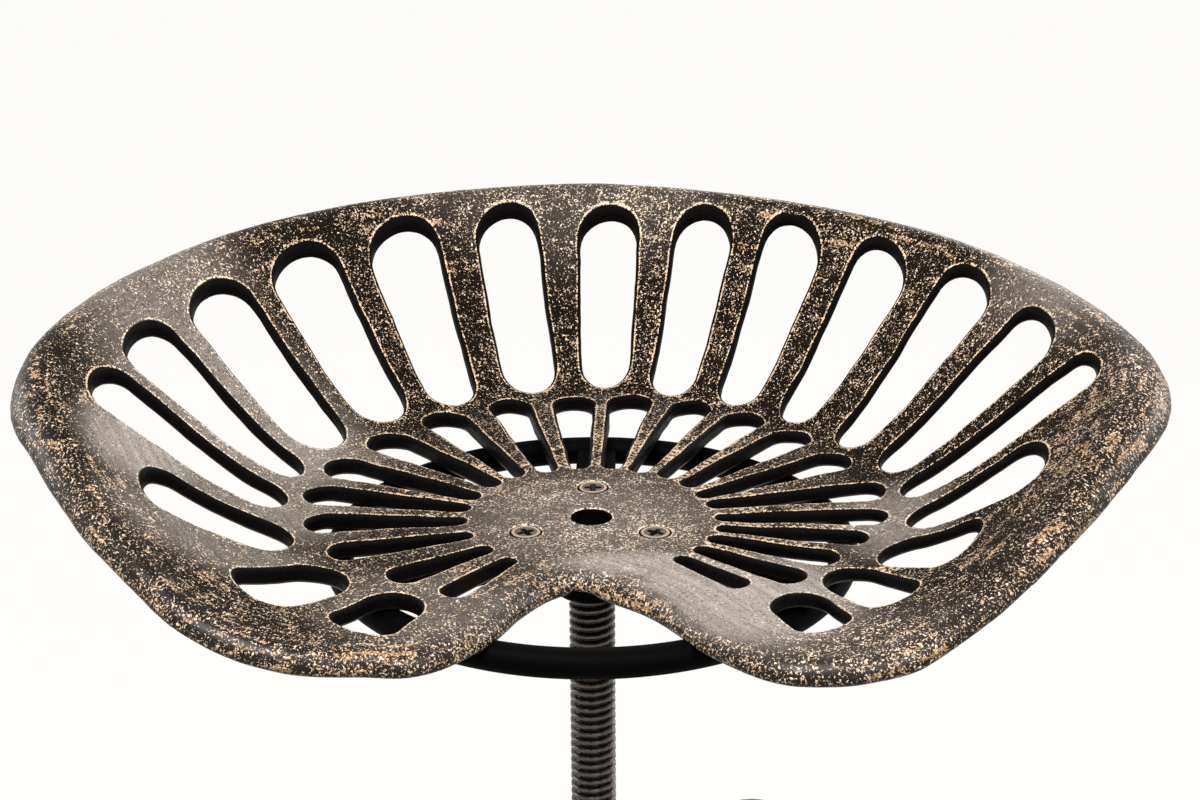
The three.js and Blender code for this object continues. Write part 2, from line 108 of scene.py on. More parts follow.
floor_paper = bpy.data.materials.new("white_paper_floor")
floor_paper.use_nodes = True
tree = floor_paper.node_tree
tree.nodes.clear()
share = add(tree, "ShaderNodeMath", {0: seen_itself(tree), 1: paper_share}, operation="MULTIPLY")
matt = add(tree, "ShaderNodeBsdfDiffuse", {"Color": "8c8a87"})
glow = add(tree, "ShaderNodeEmission", {"Color": "fffefc", "Strength": paper_white})
mix = add(tree, "ShaderNodeMixShader", {0: share, 1: matt, 2: glow})
add(tree, "ShaderNodeOutputMaterial", {"Surface": mix})

sweep = bpy.data.meshes.new("floor")
sweep.from_pydata([(-9, -9, 0), (9, -9, 0), (9, 9, 0), (-9, 9, 0)], [], [(0, 1, 2, 3)])
sweep.materials.append(floor_paper)
floor = bpy.data.objects.new("floor", sweep)
bpy.context.scene.collection.objects.link(floor)

hub = screw_axis + Vector((0, 0, hub_face / 1000))
for name, place, watts in (  # place in metres from the seat's hub
    ("back_softbox", (0.62, 1.5, 0.72), 9),
    ("key_softbox", (-0.45, -0.65, 1.25), 26),
    ("fill_softbox", (0.6, -0.9, 0.95), 14),
    ("left_strip", (-1.5, 0.7, 0.5), 12),
    ("right_strip", (1.5, 0.6, 0.6), 12),
):
    lamp = bpy.data.lights.new(name, "AREA")
    lamp.size, lamp.energy = 0.8, watts
    lamp_object = bpy.data.objects.new(name, lamp)
    lamp_object.location = hub + Vector(place)
    lamp_object.rotation_euler = (-Vector(place)).to_track_quat("-Z", "Y").to_euler()
    bpy.context.scene.collection.objects.link(lamp_object)

camera = bpy.data.objects.new("camera", bpy.data.cameras.new("camera"))
camera.data.sensor_width = 36
camera.data.lens = 72.81
heading_turn, down_tilt, roll = 1.31, 21.37, -0.41  # in degrees
camera.matrix_world = (
    Matrix.Translation(hub + Vector((0.0257, -0.94674, 0.42382)))
    @ Matrix.Rotation(math.radians(heading_turn), 4, "Z")
    @ Matrix.Rotation(math.radians(90 - down_tilt), 4, "X")
    @ Matrix.Rotation(math.radians(roll), 4, "Z")
)
bpy.context.scene.collection.objects.link(camera)
bpy.context.scene.camera = camera


# ---- Base: threaded boss ----
# A turned steel boss that the screw runs through, with the legs welded round it. Powder coated with them.

collar_bottom = hub_face - 34.5
boss_top = collar_bottom - 120.5
boss_height, boss_radius, bore_radius, bore_chamfer = 70, 24, 10.3, 1.2
boss_bottom = boss_top - boss_height


def made(name, points, faces, finish):
    """A smooth piece from points in millimetres about the screw's axis."""
    mesh = bpy.data.meshes.new(name)
    places = np.asarray(points, float) / 1000 + np.array(screw_axis)
    mesh.from_pydata(places.tolist(), [], faces)
    mesh.polygons.foreach_set("use_smooth", [True] * len(mesh.polygons))
    mesh.materials.append(finish)
    piece = bpy.data.objects.new(name, mesh)
    bpy.context.scene.collection.objects.link(piece)
    return piece


def rings_joined(rings, closed=False):
    """Points and faces over rings of equal count, with flat ends or closed on itself."""
    count = len(rings[0])
    pairs = [(i, (i + 1) % len(rings)) for i in range(len(rings) if closed else len(rings) - 1)]
    faces = [(a * count + j, a * count + (j + 1) % count, b * count + (j + 1) % count, b * count + j)
             for a, b in pairs for j in range(count)]
    if not closed:
        faces += [tuple(range(count))[::-1], tuple((len(rings) - 1) * count + j for j in range(count))]
    return np.concatenate(rings), faces


def turned(profile, sides=64, closed=False):
    """Points and faces round the axis, from (radius, height) pairs, bottom first outside. A radius may be an
    array, with one for each side."""
    turn = np.linspace(0, 2 * np.pi, sides, endpoint=False)
    rings = [np.column_stack([r * np.cos(turn), r * np.sin(turn), np.full(sides, z)]) for r, z in profile]
    return rings_joined(rings, closed)


def rounded(profile, radius, steps=3, closed=False):
    """The same (radius, height) profile with each of its corners rounded off."""
    corners = np.asarray(profile, float)
    count = len(corners)
    line = []
    for i, corner in enumerate(corners):
        if not closed and i in (0, count - 1):
            line.append(corner)
            continue
        before, after = corners[i - 1] - corner, corners[(i + 1) % count] - corner
        reach = min(radius, *(0.45 * np.hypot(*side) for side in (before, after)))
        start, end = (corner + side / np.hypot(*side) * reach for side in (before, after))
        for t in np.linspace(0, 1, steps + 1):
            line.append((1 - t) ** 2 * start + 2 * t * (1 - t) * corner + t * t * end)
    return line


def bored(name, outline, radius, finish, sides=64):
    """A turned piece with a bore, from its wall's closed outline, with the corners rounded off."""
    return made(name, *turned(rounded(outline, radius, closed=True), sides, closed=True), finish)


def fitted(piece, body, slot, *nodes):
    """Sets a finished piece on its body, in the place of its CAD solids."""
    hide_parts(*nodes)
    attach(piece, body)


def finish_tree(name):
    """An empty finish, its tree, and the places in millimetres that its patterns read."""
    finish = bpy.data.materials.new(name)
    finish.use_nodes = True
    tree = finish.node_tree
    tree.nodes.clear()
    metres = add(tree, "ShaderNodeTexCoord").outputs["Object"]
    return finish, tree, add(tree, "ShaderNodeVectorMath", {0: metres, "Scale": 1000}, operation="SCALE")


def finish_ended(tree, relief, strength, depth, surface):
    """Ends a finish: a relief of some depth in metres, on a surface with these inputs."""
    bump = add(tree, "ShaderNodeBump", {"Height": relief, "Strength": strength, "Distance": depth})
    whole = add(tree, "ShaderNodeBsdfPrincipled", {**surface, "Normal": bump})
    add(tree, "ShaderNodeOutputMaterial", {"Surface": whole})


# Satin black powder coat, baked on steel: near black, with the fine orange peel of the melted powder,
# about a millimetre across, slightly duller patches and a soft sheen along each tube.
powder_coat, tree, place = finish_tree("powder_coat_satin_black")
peel = add(tree, "ShaderNodeTexNoise", {"Vector": place, "Scale": 1 / 1.1, "Detail": 1.0})
patches = add(tree, "ShaderNodeTexNoise", {"Vector": place, "Scale": 1 / 35, "Detail": 2.0})
dullness = add(tree, "ShaderNodeMapRange", {0: patches, 1: 0.3, 2: 0.7, 3: 0.34, 4: 0.46})
shade = add(tree, "ShaderNodeMix", {0: patches, 6: "050505", 7: "0b0b0b"}, data_type="RGBA")
finish_ended(tree, peel, 0.12, 0.0002, {
    "Base Color": shade, "Roughness": dullness, "Specular IOR Level": 0.3})

boss = bored("threaded_boss_turned", [
    (bore_radius, boss_bottom + bore_chamfer), (bore_radius + bore_chamfer, boss_bottom),
    (boss_radius, boss_bottom), (boss_radius, boss_top), (bore_radius + bore_chamfer, boss_top),
    (bore_radius, boss_top - bore_chamfer)], 2.2, powder_coat)
fitted(boss, "base", "black_paint", "threaded_boss")


# ---- Base: legs ----
# Four 25 mm steel tubes: each runs level out of the boss, bends down on a 60 mm radius and splays by ten
# degrees. A weld bead closes the joint round each tube.

leg_count, first_leg = 4, math.radians(51)
tube_radius, bend_radius, level_run = 12.5, 60, 95
splay = math.radians(10)
leg_height = boss_top - 47.5
leg_foot = 10.3
bend_end = level_run + bend_radius * math.cos(splay)
bend_end_height = leg_height - bend_radius * (1 - math.sin(splay))


def leg_out(height):
    """How far the leg's centre line is from the screw's axis, on its straight part."""
    return bend_end + (bend_end_height - height) * math.tan(splay)


def geometry_tree(name, sizes):
    """A tree with a named input for each size. Gives the tree, its inputs and the modifier values."""
    tree = bpy.data.node_groups.new(name, "GeometryNodeTree")
    tree.interface.new_socket("Geometry", in_out="OUTPUT", socket_type="NodeSocketGeometry")
    tree.interface.new_socket("Geometry", in_out="INPUT", socket_type="NodeSocketGeometry")
    values = {}
    for label, size in sizes.items():
        kind = "NodeSocketInt" if isinstance(size, int) else "NodeSocketFloat"
        values[tree.interface.new_socket(label, in_out="INPUT", socket_type=kind).identifier] = size
    return tree, add(tree, "NodeGroupInput").outputs, values


def tree_ended(tree, geometry, finish):
    """Ends a tree: its copies are made real and given their finish."""
    real = add(tree, "GeometryNodeRealizeInstances", {0: geometry})
    add(tree, "NodeGroupOutput", {0: add(tree, "GeometryNodeSetMaterial", {0: real, "Material": finish})})


def copied_round_axis(tree, sizes, geometry, finish):
    """Ends a tree with copies of its geometry, turned evenly about the axis."""
    step = add(tree, "ShaderNodeMath", {0: 2 * math.pi, 1: sizes["Count"]}, operation="DIVIDE")
    turn = add(tree, "ShaderNodeMath", {
        0: add(tree, "GeometryNodeInputIndex"), 1: step, 2: sizes["First Turn"]}, operation="MULTIPLY_ADD")
    tree_ended(tree, add(tree, "GeometryNodeInstanceOnPoints", {
        "Points": add(tree, "GeometryNodePoints", {"Count": sizes["Count"]}),
        "Instance": geometry,
        "Rotation": add(tree, "ShaderNodeCombineXYZ", {"Z": turn}),
    }), finish)


def grown(name, points, edges, faces, tree, values, finish):
    """A plain piece from what a tree makes of a mesh drawn in millimetres about the axis."""
    seed = bpy.data.meshes.new(name + "_seed")
    seed.from_pydata([tuple(float(v) / 1000 for v in point) for point in points], edges, faces)
    carrier = bpy.data.objects.new(name, seed)
    bpy.context.scene.collection.objects.link(carrier)
    modifier = carrier.modifiers.new("tree", "NODES")
    modifier.node_group = tree
    for identifier, value in values.items():
        modifier[identifier] = value
    reached = carrier.evaluated_get(bpy.context.evaluated_depsgraph_get())
    mesh = bpy.data.meshes.new_from_object(reached)
    carrier.modifiers.remove(modifier)
    mesh.transform(Matrix.Translation(screw_axis))
    mesh.materials.clear()
    mesh.materials.append(finish)
    mesh.polygons.foreach_set("material_index", [0] * len(mesh.polygons))
    mesh.polygons.foreach_set("use_smooth", [True] * len(mesh.polygons))
    carrier.data = mesh
    bpy.data.meshes.remove(seed)
    return carrier


def set_round_axis(name, points, faces, count, first_turn, finish):
    """One plain piece of evenly turned copies of the one that is drawn."""
    tree, sizes, values = geometry_tree(name, {"Count": count, "First Turn": first_turn})
    copied_round_axis(tree, sizes, sizes["Geometry"], finish)
    return grown(name, points, [], faces, tree, values, finish)


def sharpened(piece, degrees=35):
    """Keeps a smooth piece's corners crisp."""
    piece.data.set_sharp_from_angle(angle=math.radians(degrees))
    return piece


tree, sizes, values = geometry_tree("bent_tube_legs", {
    "Tube Radius": tube_radius / 1000, "Bend Radius": bend_radius / 1000,
    "Count": leg_count, "First Turn": first_leg})
line = add(tree, "GeometryNodeMeshToCurve", {0: sizes["Geometry"]})
bent = add(tree, "GeometryNodeFilletCurve", {
    "Curve": line, "Radius": sizes["Bend Radius"], "Count": 20}, mode="POLY")
circle = add(tree, "GeometryNodeCurvePrimitiveCircle", {"Resolution": 40, "Radius": sizes["Tube Radius"]})
tube = add(tree, "GeometryNodeCurveToMesh", {"Curve": bent, "Profile Curve": circle, "Fill Caps": True})
copied_round_axis(tree, sizes, tube, powder_coat)
corner = level_run + bend_radius * math.tan(math.pi / 4 - splay / 2)
legs = sharpened(grown("legs_bent_tube", [
    (boss_radius - 2, 0, leg_height), (corner, 0, leg_height), (leg_out(leg_foot), 0, leg_foot),
], [(0, 1), (1, 2)], [], tree, values, powder_coat))
fitted(legs, "base", "black_paint", "leg_1", "leg_2", "leg_3", "leg_4")

bead_radius, bead_ripples = 2.1, 27
bead_turn = np.linspace(0, 2 * np.pi, 96, endpoint=False)
ripple = 1 + 0.10 * np.sin(bead_ripples * bead_turn)
bead_rings = []
for spot in np.linspace(0, 2 * np.pi, 10, endpoint=False):
    out = (tube_radius + 0.6 + bead_radius * np.sin(spot) * ripple)
    across, up = out * np.cos(bead_turn), out * np.sin(bead_turn)
    along = np.sqrt(boss_radius ** 2 - np.minimum(np.abs(across), tube_radius + 2.5) ** 2)
    along = along + 0.5 + bead_radius * np.cos(spot) * ripple
    bead_rings.append(np.column_stack([along, across, up + leg_height]))
leg_welds = set_round_axis(
    "leg_weld_beads", *rings_joined(bead_rings, closed=True), leg_count, first_leg, powder_coat)
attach(leg_welds, "base")


# ---- Base: foot ring and its fasteners ----
# A 16 mm round bar rolled into a ring inside the legs. An M6 button-head bolt goes through each leg and
# the ring, into a domed cap nut. The fasteners are bright zinc plated.

ring_height, ring_bar, fit_gap = 210, 8, 0.3
leg_face = tube_radius / math.cos(splay)
ring_radius = leg_out(ring_height) - leg_face - ring_bar - fit_gap
bolt_seat = leg_out(ring_height - 6) + leg_face + fit_gap
nut_seat = ring_radius - ring_bar - fit_gap


def bar_ring(radius, bar_radius, height, steps=192, sides=32):
    """Points and faces of a round bar rolled into a ring."""
    spot = np.linspace(0, 2 * np.pi, sides, endpoint=False)
    profile = [(radius + bar_radius * math.cos(s), height + bar_radius * math.sin(s)) for s in spot]
    return turned(profile, steps, closed=True)


foot_ring = made("foot_ring_bar", *bar_ring(ring_radius, ring_bar, ring_height), powder_coat)
fitted(foot_ring, "base", "black_paint", "foot_ring")

# Zinc plate on steel: a bright, slightly bluish metal with a faint mottle of a few millimetres.
zinc, tree, place = finish_tree("zinc_plate_bright")
mottle = add(tree, "ShaderNodeTexNoise", {"Vector": place, "Scale": 1 / 2.5, "Detail": 3.0})
shade = add(tree, "ShaderNodeMix", {0: mottle, 6: "8e9090", 7: "b9bbb9"}, data_type="RGBA")
dullness = add(tree, "ShaderNodeMapRange", {0: mottle, 1: 0.3, 2: 0.7, 3: 0.26, 4: 0.40})
finish_ended(tree, mottle, 0.08, 0.0001, {"Base Color": shade, "Metallic": 1.0, "Roughness": dullness})


def laid_along_x(points, faces):
    """A fastener drawn about +Z, laid along +X at the ring's height."""
    x, y, z = np.asarray(points, float).T
    return np.column_stack([z, y, ring_height - x]), faces


def hexagon(half_width):
    """How far a hexagon's outline is from its middle, at 48 even turns."""
    turn = np.linspace(0, 2 * np.pi, 48, endpoint=False)
    return half_width / np.cos((turn + math.pi / 6) % (math.pi / 3) - math.pi / 6)


shank_radius, head_radius, cap_radius = 3, 6, 4.5
dome_turns = np.linspace(0, math.pi / 2, 8)
bolt = turned([
    (0.01, nut_seat - 4.5), (shank_radius, nut_seat - 4.5), (shank_radius, bolt_seat), (head_radius, bolt_seat),
    *((head_radius * math.cos(t), bolt_seat + 0.6 + 2.8 * math.sin(t)) for t in dome_turns[:-1]),
    (2.2, bolt_seat + 3.36), (2.0, bolt_seat + 1.6), (0.01, bolt_seat + 1.2)], 40)
bolts = sharpened(set_round_axis(
    "foot_ring_bolts", *laid_along_x(*bolt), leg_count, first_leg, zinc))
fitted(bolts, "base", "zinc_steel", *(f"foot_ring_bolt_{i}" for i in range(1, 5)))

nut_hex = hexagon(5.0)
nut = turned([
    (nut_hex * 0.93, nut_seat), (nut_hex, nut_seat - 0.5), (nut_hex, nut_seat - 4.4),
    (nut_hex * 0.95, nut_seat - 5), (cap_radius, nut_seat - 5),
    *((max(cap_radius * math.cos(t), 0.01), nut_seat - 5 - 3 * math.sin(t)) for t in dome_turns[1:]),
][::-1], 48)
nuts = sharpened(set_round_axis(
    "foot_ring_cap_nuts", *laid_along_x(*nut), leg_count, first_leg, zinc))
fitted(nuts, "base", "zinc_steel", *(f"foot_ring_nut_{i}" for i in range(1, 5)))


# ---- Base: glides ----
# Moulded nylon feet, pressed into the tube ends: a round pad with soft edges and a plain stem.

# Moulded nylon: dull black, with the fine spark texture of the mould.
nylon, tree, place = finish_tree("nylon_moulded_black")
spark = add(tree, "ShaderNodeTexNoise", {"Vector": place, "Scale": 1 / 0.7, "Detail": 2.0})
shade = add(tree, "ShaderNodeMix", {0: spark, 6: "141414", 7: "202020"}, data_type="RGBA")
finish_ended(tree, spark, 0.3, 0.0001, {"Base Color": shade, "Roughness": 0.6, "IOR": 1.53})

glide_points, glide_faces = turned(rounded([
    (0.01, 0), (15, 0), (15, 10), (10, 10), (10, 10.2), (9.5, 10.2), (9.5, 21), (0.01, 22)], 2, 4), 48)
glide_points = glide_points + np.array([leg_out(leg_foot), 0, 0])
glides = set_round_axis("glides_moulded", glide_points, glide_faces, leg_count, first_leg, nylon)
fitted(glides, "base", "nylon", *(f"glide_{i}" for i in range(1, 5)))


# ---- Threaded rod and its stops ----
# A 20 mm trapezoidal rod with 4 mm pitch, cut and oiled: the crests are rubbed brighter and the roots
# are dark. A zinc plated screw and a loose washer under it stop the seat at the top of its travel.

rod_top = hub_face - 9
rod_bottom = boss_bottom - 80.5
pitch, thread_depth, rod_radius = 4, 2.0, 10

# Dark oiled steel: brown-grey metal on the crests and a black film in the roots. The film gives way from
# 9.2 to 11 mm out, where its own noise of some three millimetres counts as up to 1.6 mm more.
rod_steel, tree, place = finish_tree("steel_rod_dark_oiled")
from_axis = add(tree, "ShaderNodeVectorMath", {
    0: place, 1: (-screw_axis.x * 1000, -screw_axis.y * 1000, 0)}, operation="ADD")
flat = add(tree, "ShaderNodeVectorMath", {0: from_axis, 1: (1, 1, 0)}, operation="MULTIPLY")
reach = add(tree, "ShaderNodeVectorMath", {0: flat}, operation="LENGTH")
film = add(tree, "ShaderNodeTexNoise", {"Vector": place, "Scale": 1 / 3, "Detail": 4.0, "Roughness": 0.6})
worn = add(tree, "ShaderNodeMath", {0: film, 1: 1.6, 2: reach}, operation="MULTIPLY_ADD")
rubbed = add(tree, "ShaderNodeMapRange", {0: worn, 1: 9.2, 2: 11.0})
shade = add(tree, "ShaderNodeMix", {0: rubbed, 6: "0a0807", 7: "5e554e"}, data_type="RGBA")
dullness = add(tree, "ShaderNodeMapRange", {0: film, 1: 0.3, 2: 0.7, 3: 0.16, 4: 0.38})
finish_ended(tree, film, 0.25, 0.0002, {"Base Color": shade, "Metallic": 0.6, "Roughness": dullness})


def turned_outwards(piece):
    """Closes a piece's open ends and turns its faces outwards."""
    shell = bmesh.new()
    shell.from_mesh(piece.data)
    bmesh.ops.holes_fill(shell, edges=[edge for edge in shell.edges if edge.is_boundary])
    bmesh.ops.recalc_face_normals(shell, faces=shell.faces)
    shell.to_mesh(piece.data)
    shell.free()


# The thread is a flat sheet, one turn wide and one rod long, rolled up and sunk along a slanting groove.
tree, sizes, values = geometry_tree("screw_thread", {
    "Crest Radius": rod_radius / 1000, "Depth": thread_depth / 1000, "Pitch": pitch / 1000,
    "Bottom": rod_bottom / 1000, "Length": (rod_top - rod_bottom) / 1000})
sheet = add(tree, "GeometryNodeMeshGrid", {
    "Size X": 1.0, "Size Y": 1.0, "Vertices X": 57,
    "Vertices Y": int((rod_top - rod_bottom) / pitch * 12)})
spot = add(tree, "ShaderNodeSeparateXYZ", {0: add(tree, "GeometryNodeInputPosition")}).outputs
turns = add(tree, "ShaderNodeMath", {0: spot["X"], 1: 0.5}, operation="ADD")
rise = add(tree, "ShaderNodeMath", {0: spot["Y"], 1: 0.5}, operation="ADD")
up_rod = add(tree, "ShaderNodeMath", {
    0: rise, 1: sizes["Length"], 2: sizes["Bottom"]}, operation="MULTIPLY_ADD")
wound = add(tree, "ShaderNodeMath", {0: up_rod, 1: sizes["Pitch"]}, operation="DIVIDE")
phase = add(tree, "ShaderNodeMath", {0: wound, 1: turns}, operation="SUBTRACT")
ridge = add(tree, "ShaderNodeMath", {0: phase, 1: 0.5}, operation="PINGPONG")
groove = add(tree, "ShaderNodeMapRange", {0: ridge, 1: 0.13, 2: 0.40}, interpolation_type="SMOOTHSTEP")
from_end = add(tree, "ShaderNodeMath", {0: rise, 1: 0.5}, operation="PINGPONG")
lead_in = add(tree, "ShaderNodeMapRange", {0: from_end, 1: 0.0, 2: 0.007, 3: 1.0, 4: 0.0})
sunk = add(tree, "ShaderNodeMath", {0: groove, 1: lead_in}, operation="MAXIMUM")
inward = add(tree, "ShaderNodeMath", {0: sunk, 1: sizes["Depth"]}, operation="MULTIPLY")
out = add(tree, "ShaderNodeMath", {0: sizes["Crest Radius"], 1: inward}, operation="SUBTRACT")
angle = add(tree, "ShaderNodeMath", {0: turns, 1: 2 * math.pi}, operation="MULTIPLY")
x, y = (add(tree, "ShaderNodeMath", {
    0: add(tree, "ShaderNodeMath", {0: angle}, operation=wave), 1: out}, operation="MULTIPLY")
    for wave in ("COSINE", "SINE"))
rolled = add(tree, "GeometryNodeSetPosition", {
    "Geometry": sheet, "Position": add(tree, "ShaderNodeCombineXYZ", {0: x, 1: y, 2: up_rod})})
tree_ended(tree, add(tree, "GeometryNodeMergeByDistance", {0: rolled, "Distance": 1e-5}), rod_steel)
rod = grown("threaded_rod_cut", [(0, 0, 0)], [], [], tree, values, rod_steel)
turned_outwards(rod)
sharpened(rod, 50)
fitted(rod, "seat_turn", "rod_steel", "threaded_rod")

washer_top, washer_hole, washer_radius = rod_bottom - 0.3, 3.3, 17
washer_bottom = washer_top - 4
washer = bored("stop_washer_turned", [
    (washer_hole, washer_bottom), (washer_radius, washer_bottom), (washer_radius, washer_top),
    (washer_hole, washer_top)], 0.6, zinc)
fitted(washer, "lift", "zinc_steel", "stop_washer")

head_top, stop_hex = rod_bottom - 4.6, hexagon(5.02)
stop_screw = sharpened(made("stop_screw_hex", *turned([
    (0.01, head_top - 4), (4.6, head_top - 4), (stop_hex, head_top - 3.5), (stop_hex, head_top),
    (shank_radius, head_top), (shank_radius, rod_bottom + 16)], 48), zinc))
fitted(stop_screw, "seat_turn", "zinc_steel", "stop_screw")


# ---- Under-seat spider ----
# A round flange plate on the rod, three flat bars welded out from it, and a ring of 12.5 mm round bar that
# the casting hides from above. Brushed with one coat of matt black after welding.

flange_top = hub_face - 7.8
flange_bottom = flange_top - 8
flange_radius, collar_radius = 45, 17
under_ring_radius, under_ring_bar = 107.8, 6.25

# Matt black metal paint: a dead black with hardly any gloss, and the soft unevenness of the brush over
# some three millimetres.
matt_black, tree, place = finish_tree("metal_paint_matt_black")
brushed = add(tree, "ShaderNodeTexNoise", {"Vector": place, "Scale": 1 / 3, "Detail": 3.0, "Roughness": 0.6})
dullness = add(tree, "ShaderNodeMapRange", {0: brushed, 1: 0.3, 2: 0.7, 3: 0.5, 4: 0.62})
shade = add(tree, "ShaderNodeMix", {0: brushed, 6: "010101", 7: "060505"}, data_type="RGBA")
finish_ended(tree, brushed, 0.2, 0.0003, {
    "Base Color": shade, "Roughness": dullness, "Specular IOR Level": 0.02})

flange = bored("seat_flange_plate", [
    (bore_radius, flange_bottom), (flange_radius, flange_bottom), (flange_radius, flange_top),
    (bore_radius, flange_top)], 0.8, matt_black, 96)
fitted(flange, "seat_turn", "black_paint", "seat_flange")

collar_top = flange_bottom - fit_gap
collar = bored("rod_collar_turned", [
    (bore_radius, collar_bottom), (collar_radius - 2, collar_bottom), (collar_radius, collar_bottom + 2),
    (collar_radius, collar_top), (bore_radius, collar_top)], 0.8, matt_black)
fitted(collar, "seat_turn", "black_paint", "rod_collar")

under_ring = made("under_seat_ring_bar", *bar_ring(
    under_ring_radius, under_ring_bar, hub_face - 14.3), matt_black)
fitted(under_ring, "seat_turn", "black_paint", "under_seat_ring")

spoke_count, first_spoke = 3, math.pi / 2
bar_half, bar_thick, bar_edge = 9, 4.5, 0.9
bar_section = rounded([(-bar_half, 0), (bar_half, 0), (bar_half, bar_thick), (-bar_half, bar_thick)],
                      bar_edge, closed=True)
bar_rings = []
for along in np.linspace(0, 1, 9):
    ring = []
    for side, up in bar_section:
        start, end = (math.sqrt(radius ** 2 - side ** 2) for radius in (
            flange_radius + fit_gap, under_ring_radius - under_ring_bar - fit_gap))
        ring.append((start + (end - start) * along, side, flange_bottom + up))
    bar_rings.append(np.array(ring))
spokes = sharpened(set_round_axis(
    "spokes_flat_bar", *rings_joined(bar_rings), spoke_count, first_spoke, matt_black), 50)
fitted(spokes, "seat_turn", "black_paint", "spoke_1", "spoke_2", "spoke_3")


# ---- Seat casting ----
# One sand-cast iron pan, painted near black and rubbed with copper: a flat hub, slotted floor and walls,
# and a rolled rim. It is drawn as an upper and an under skin with the slots' walls and the rim between.

seat_reach, seat_rise, seat_wall, rim_wall = 250, 84, 7.5, 4.5
rim_turn, notch_turn = math.radians(80), math.radians(66)
lip_radius, under_lip_radius, hole_edge = 2.3, 1.2, 0.5
hub_hole_radius, countersink_radius, screw_circle = 9, 7.05, 31.5
wall_end_share, floor_end_share = 0.6, 0.9  # how round a slot's outer end is: a wall's slots look rounder
least_wall = 8  # how far the wall reaches at least, between the floor and the rim
notch_start, notch_ease = -58, 20  # in degrees: where the rim's turn begins to shorten, and over how much
thinning, thinning_start, thinning_width = 1.6, 20, 100  # the casting's wall, towards the right
rim_step, slot_step, upper_step, under_step = 2.6, 1.9, 3.0, 4.2  # spacings of the points
far_from_lip, far_from_rim = 9, 80  # the most that the two distances count

rim_stations = [  # azimuth in degrees, distance from the axis as a share of the reach
    (-87.1, 0.243), (-80.8, 0.272), (-73.8, 0.318), (-69.3, 0.403), (-67, 0.49), (-62, 0.607), (-56, 0.675),
    (-48, 0.734), (-40, 0.76), (-30, 0.798), (-20, 0.845), (-10, 0.904), (-2, 0.961), (5, 0.978),
    (14, 0.959), (28, 0.91), (45, 0.875), (65, 0.85), (90, 0.877), (115, 0.895), (135, 0.926),
    (152, 0.954), (164, 0.985), (173, 0.993), (182, 0.971), (190, 0.916), (200, 0.866), (210, 0.818),
    (220, 0.778), (230, 0.708), (238, 0.626), (244, 0.58), (250, 0.456),
    (252.3, 0.33), (256.8, 0.262), (264.5, 0.229),
]
sections = np.array([  # azimuth, bend, overhang, crest and steep
    (-90, 0.164, 0.042, 0.006, 0.3), (-74, 0.256, 0.04, 0.008, 0.34), (-60, 0.376, 0.034, 0.007, 0.4),
    (-48, 0.456, 0.036, 0.06, 0.48), (-36, 0.48, 0.04, 0.185, 0.62), (-24, 0.46, 0.056, 0.369, 0.7),
    (-12, 0.454, 0.078, 0.548, 0.68), (0, 0.468, 0.094, 0.714, 0.56), (12, 0.484, 0.086, 0.815, 0.48),
    (28, 0.498, 0.062, 0.899, 0.5), (55, 0.532, 0.052, 0.956, 0.6), (90, 0.57, 0.053, 0.976, 0.6),
])
outer_slots = [  # azimuths of both ends, then both ends' radii and half widths as shares of the reach
    (88.9, 88.7, 0.6, 0.806, 0.047, 0.056), (102, 103.4, 0.589, 0.819, 0.052, 0.059),
    (117.2, 118.6, 0.576, 0.83, 0.05, 0.07), (131.8, 133.8, 0.57, 0.84, 0.06, 0.074),
    (148.1, 148.7, 0.557, 0.843, 0.066, 0.076), (162.4, 163.2, 0.548, 0.854, 0.038, 0.071),
    (175.7, 175, 0.534, 0.855, 0.048, 0.063), (193, 190.4, 0.512, 0.746, 0.058, 0.067),
    (209.4, 213.6, 0.466, 0.642, 0.058, 0.062), (227.4, 230.8, 0.422, 0.568, 0.05, 0.056),
    (76.8, 74.4, 0.582, 0.795, 0.043, 0.056), (64, 60.6, 0.573, 0.796, 0.042, 0.06),
    (50.6, 46.2, 0.561, 0.802, 0.04, 0.061), (34.7, 31.9, 0.545, 0.824, 0.04, 0.063),
    (20.6, 17.8, 0.547, 0.841, 0.046, 0.062), (8.3, 6.4, 0.545, 0.864, 0.037, 0.043),
    (-5, -5.8, 0.54, 0.757, 0.052, 0.078), (-17.6, -20.9, 0.508, 0.662, 0.048, 0.066),
    (-28.1, -35.9, 0.458, 0.609, 0.046, 0.046), (-43.5, -48.9, 0.443, 0.574, 0.046, 0.044),
]
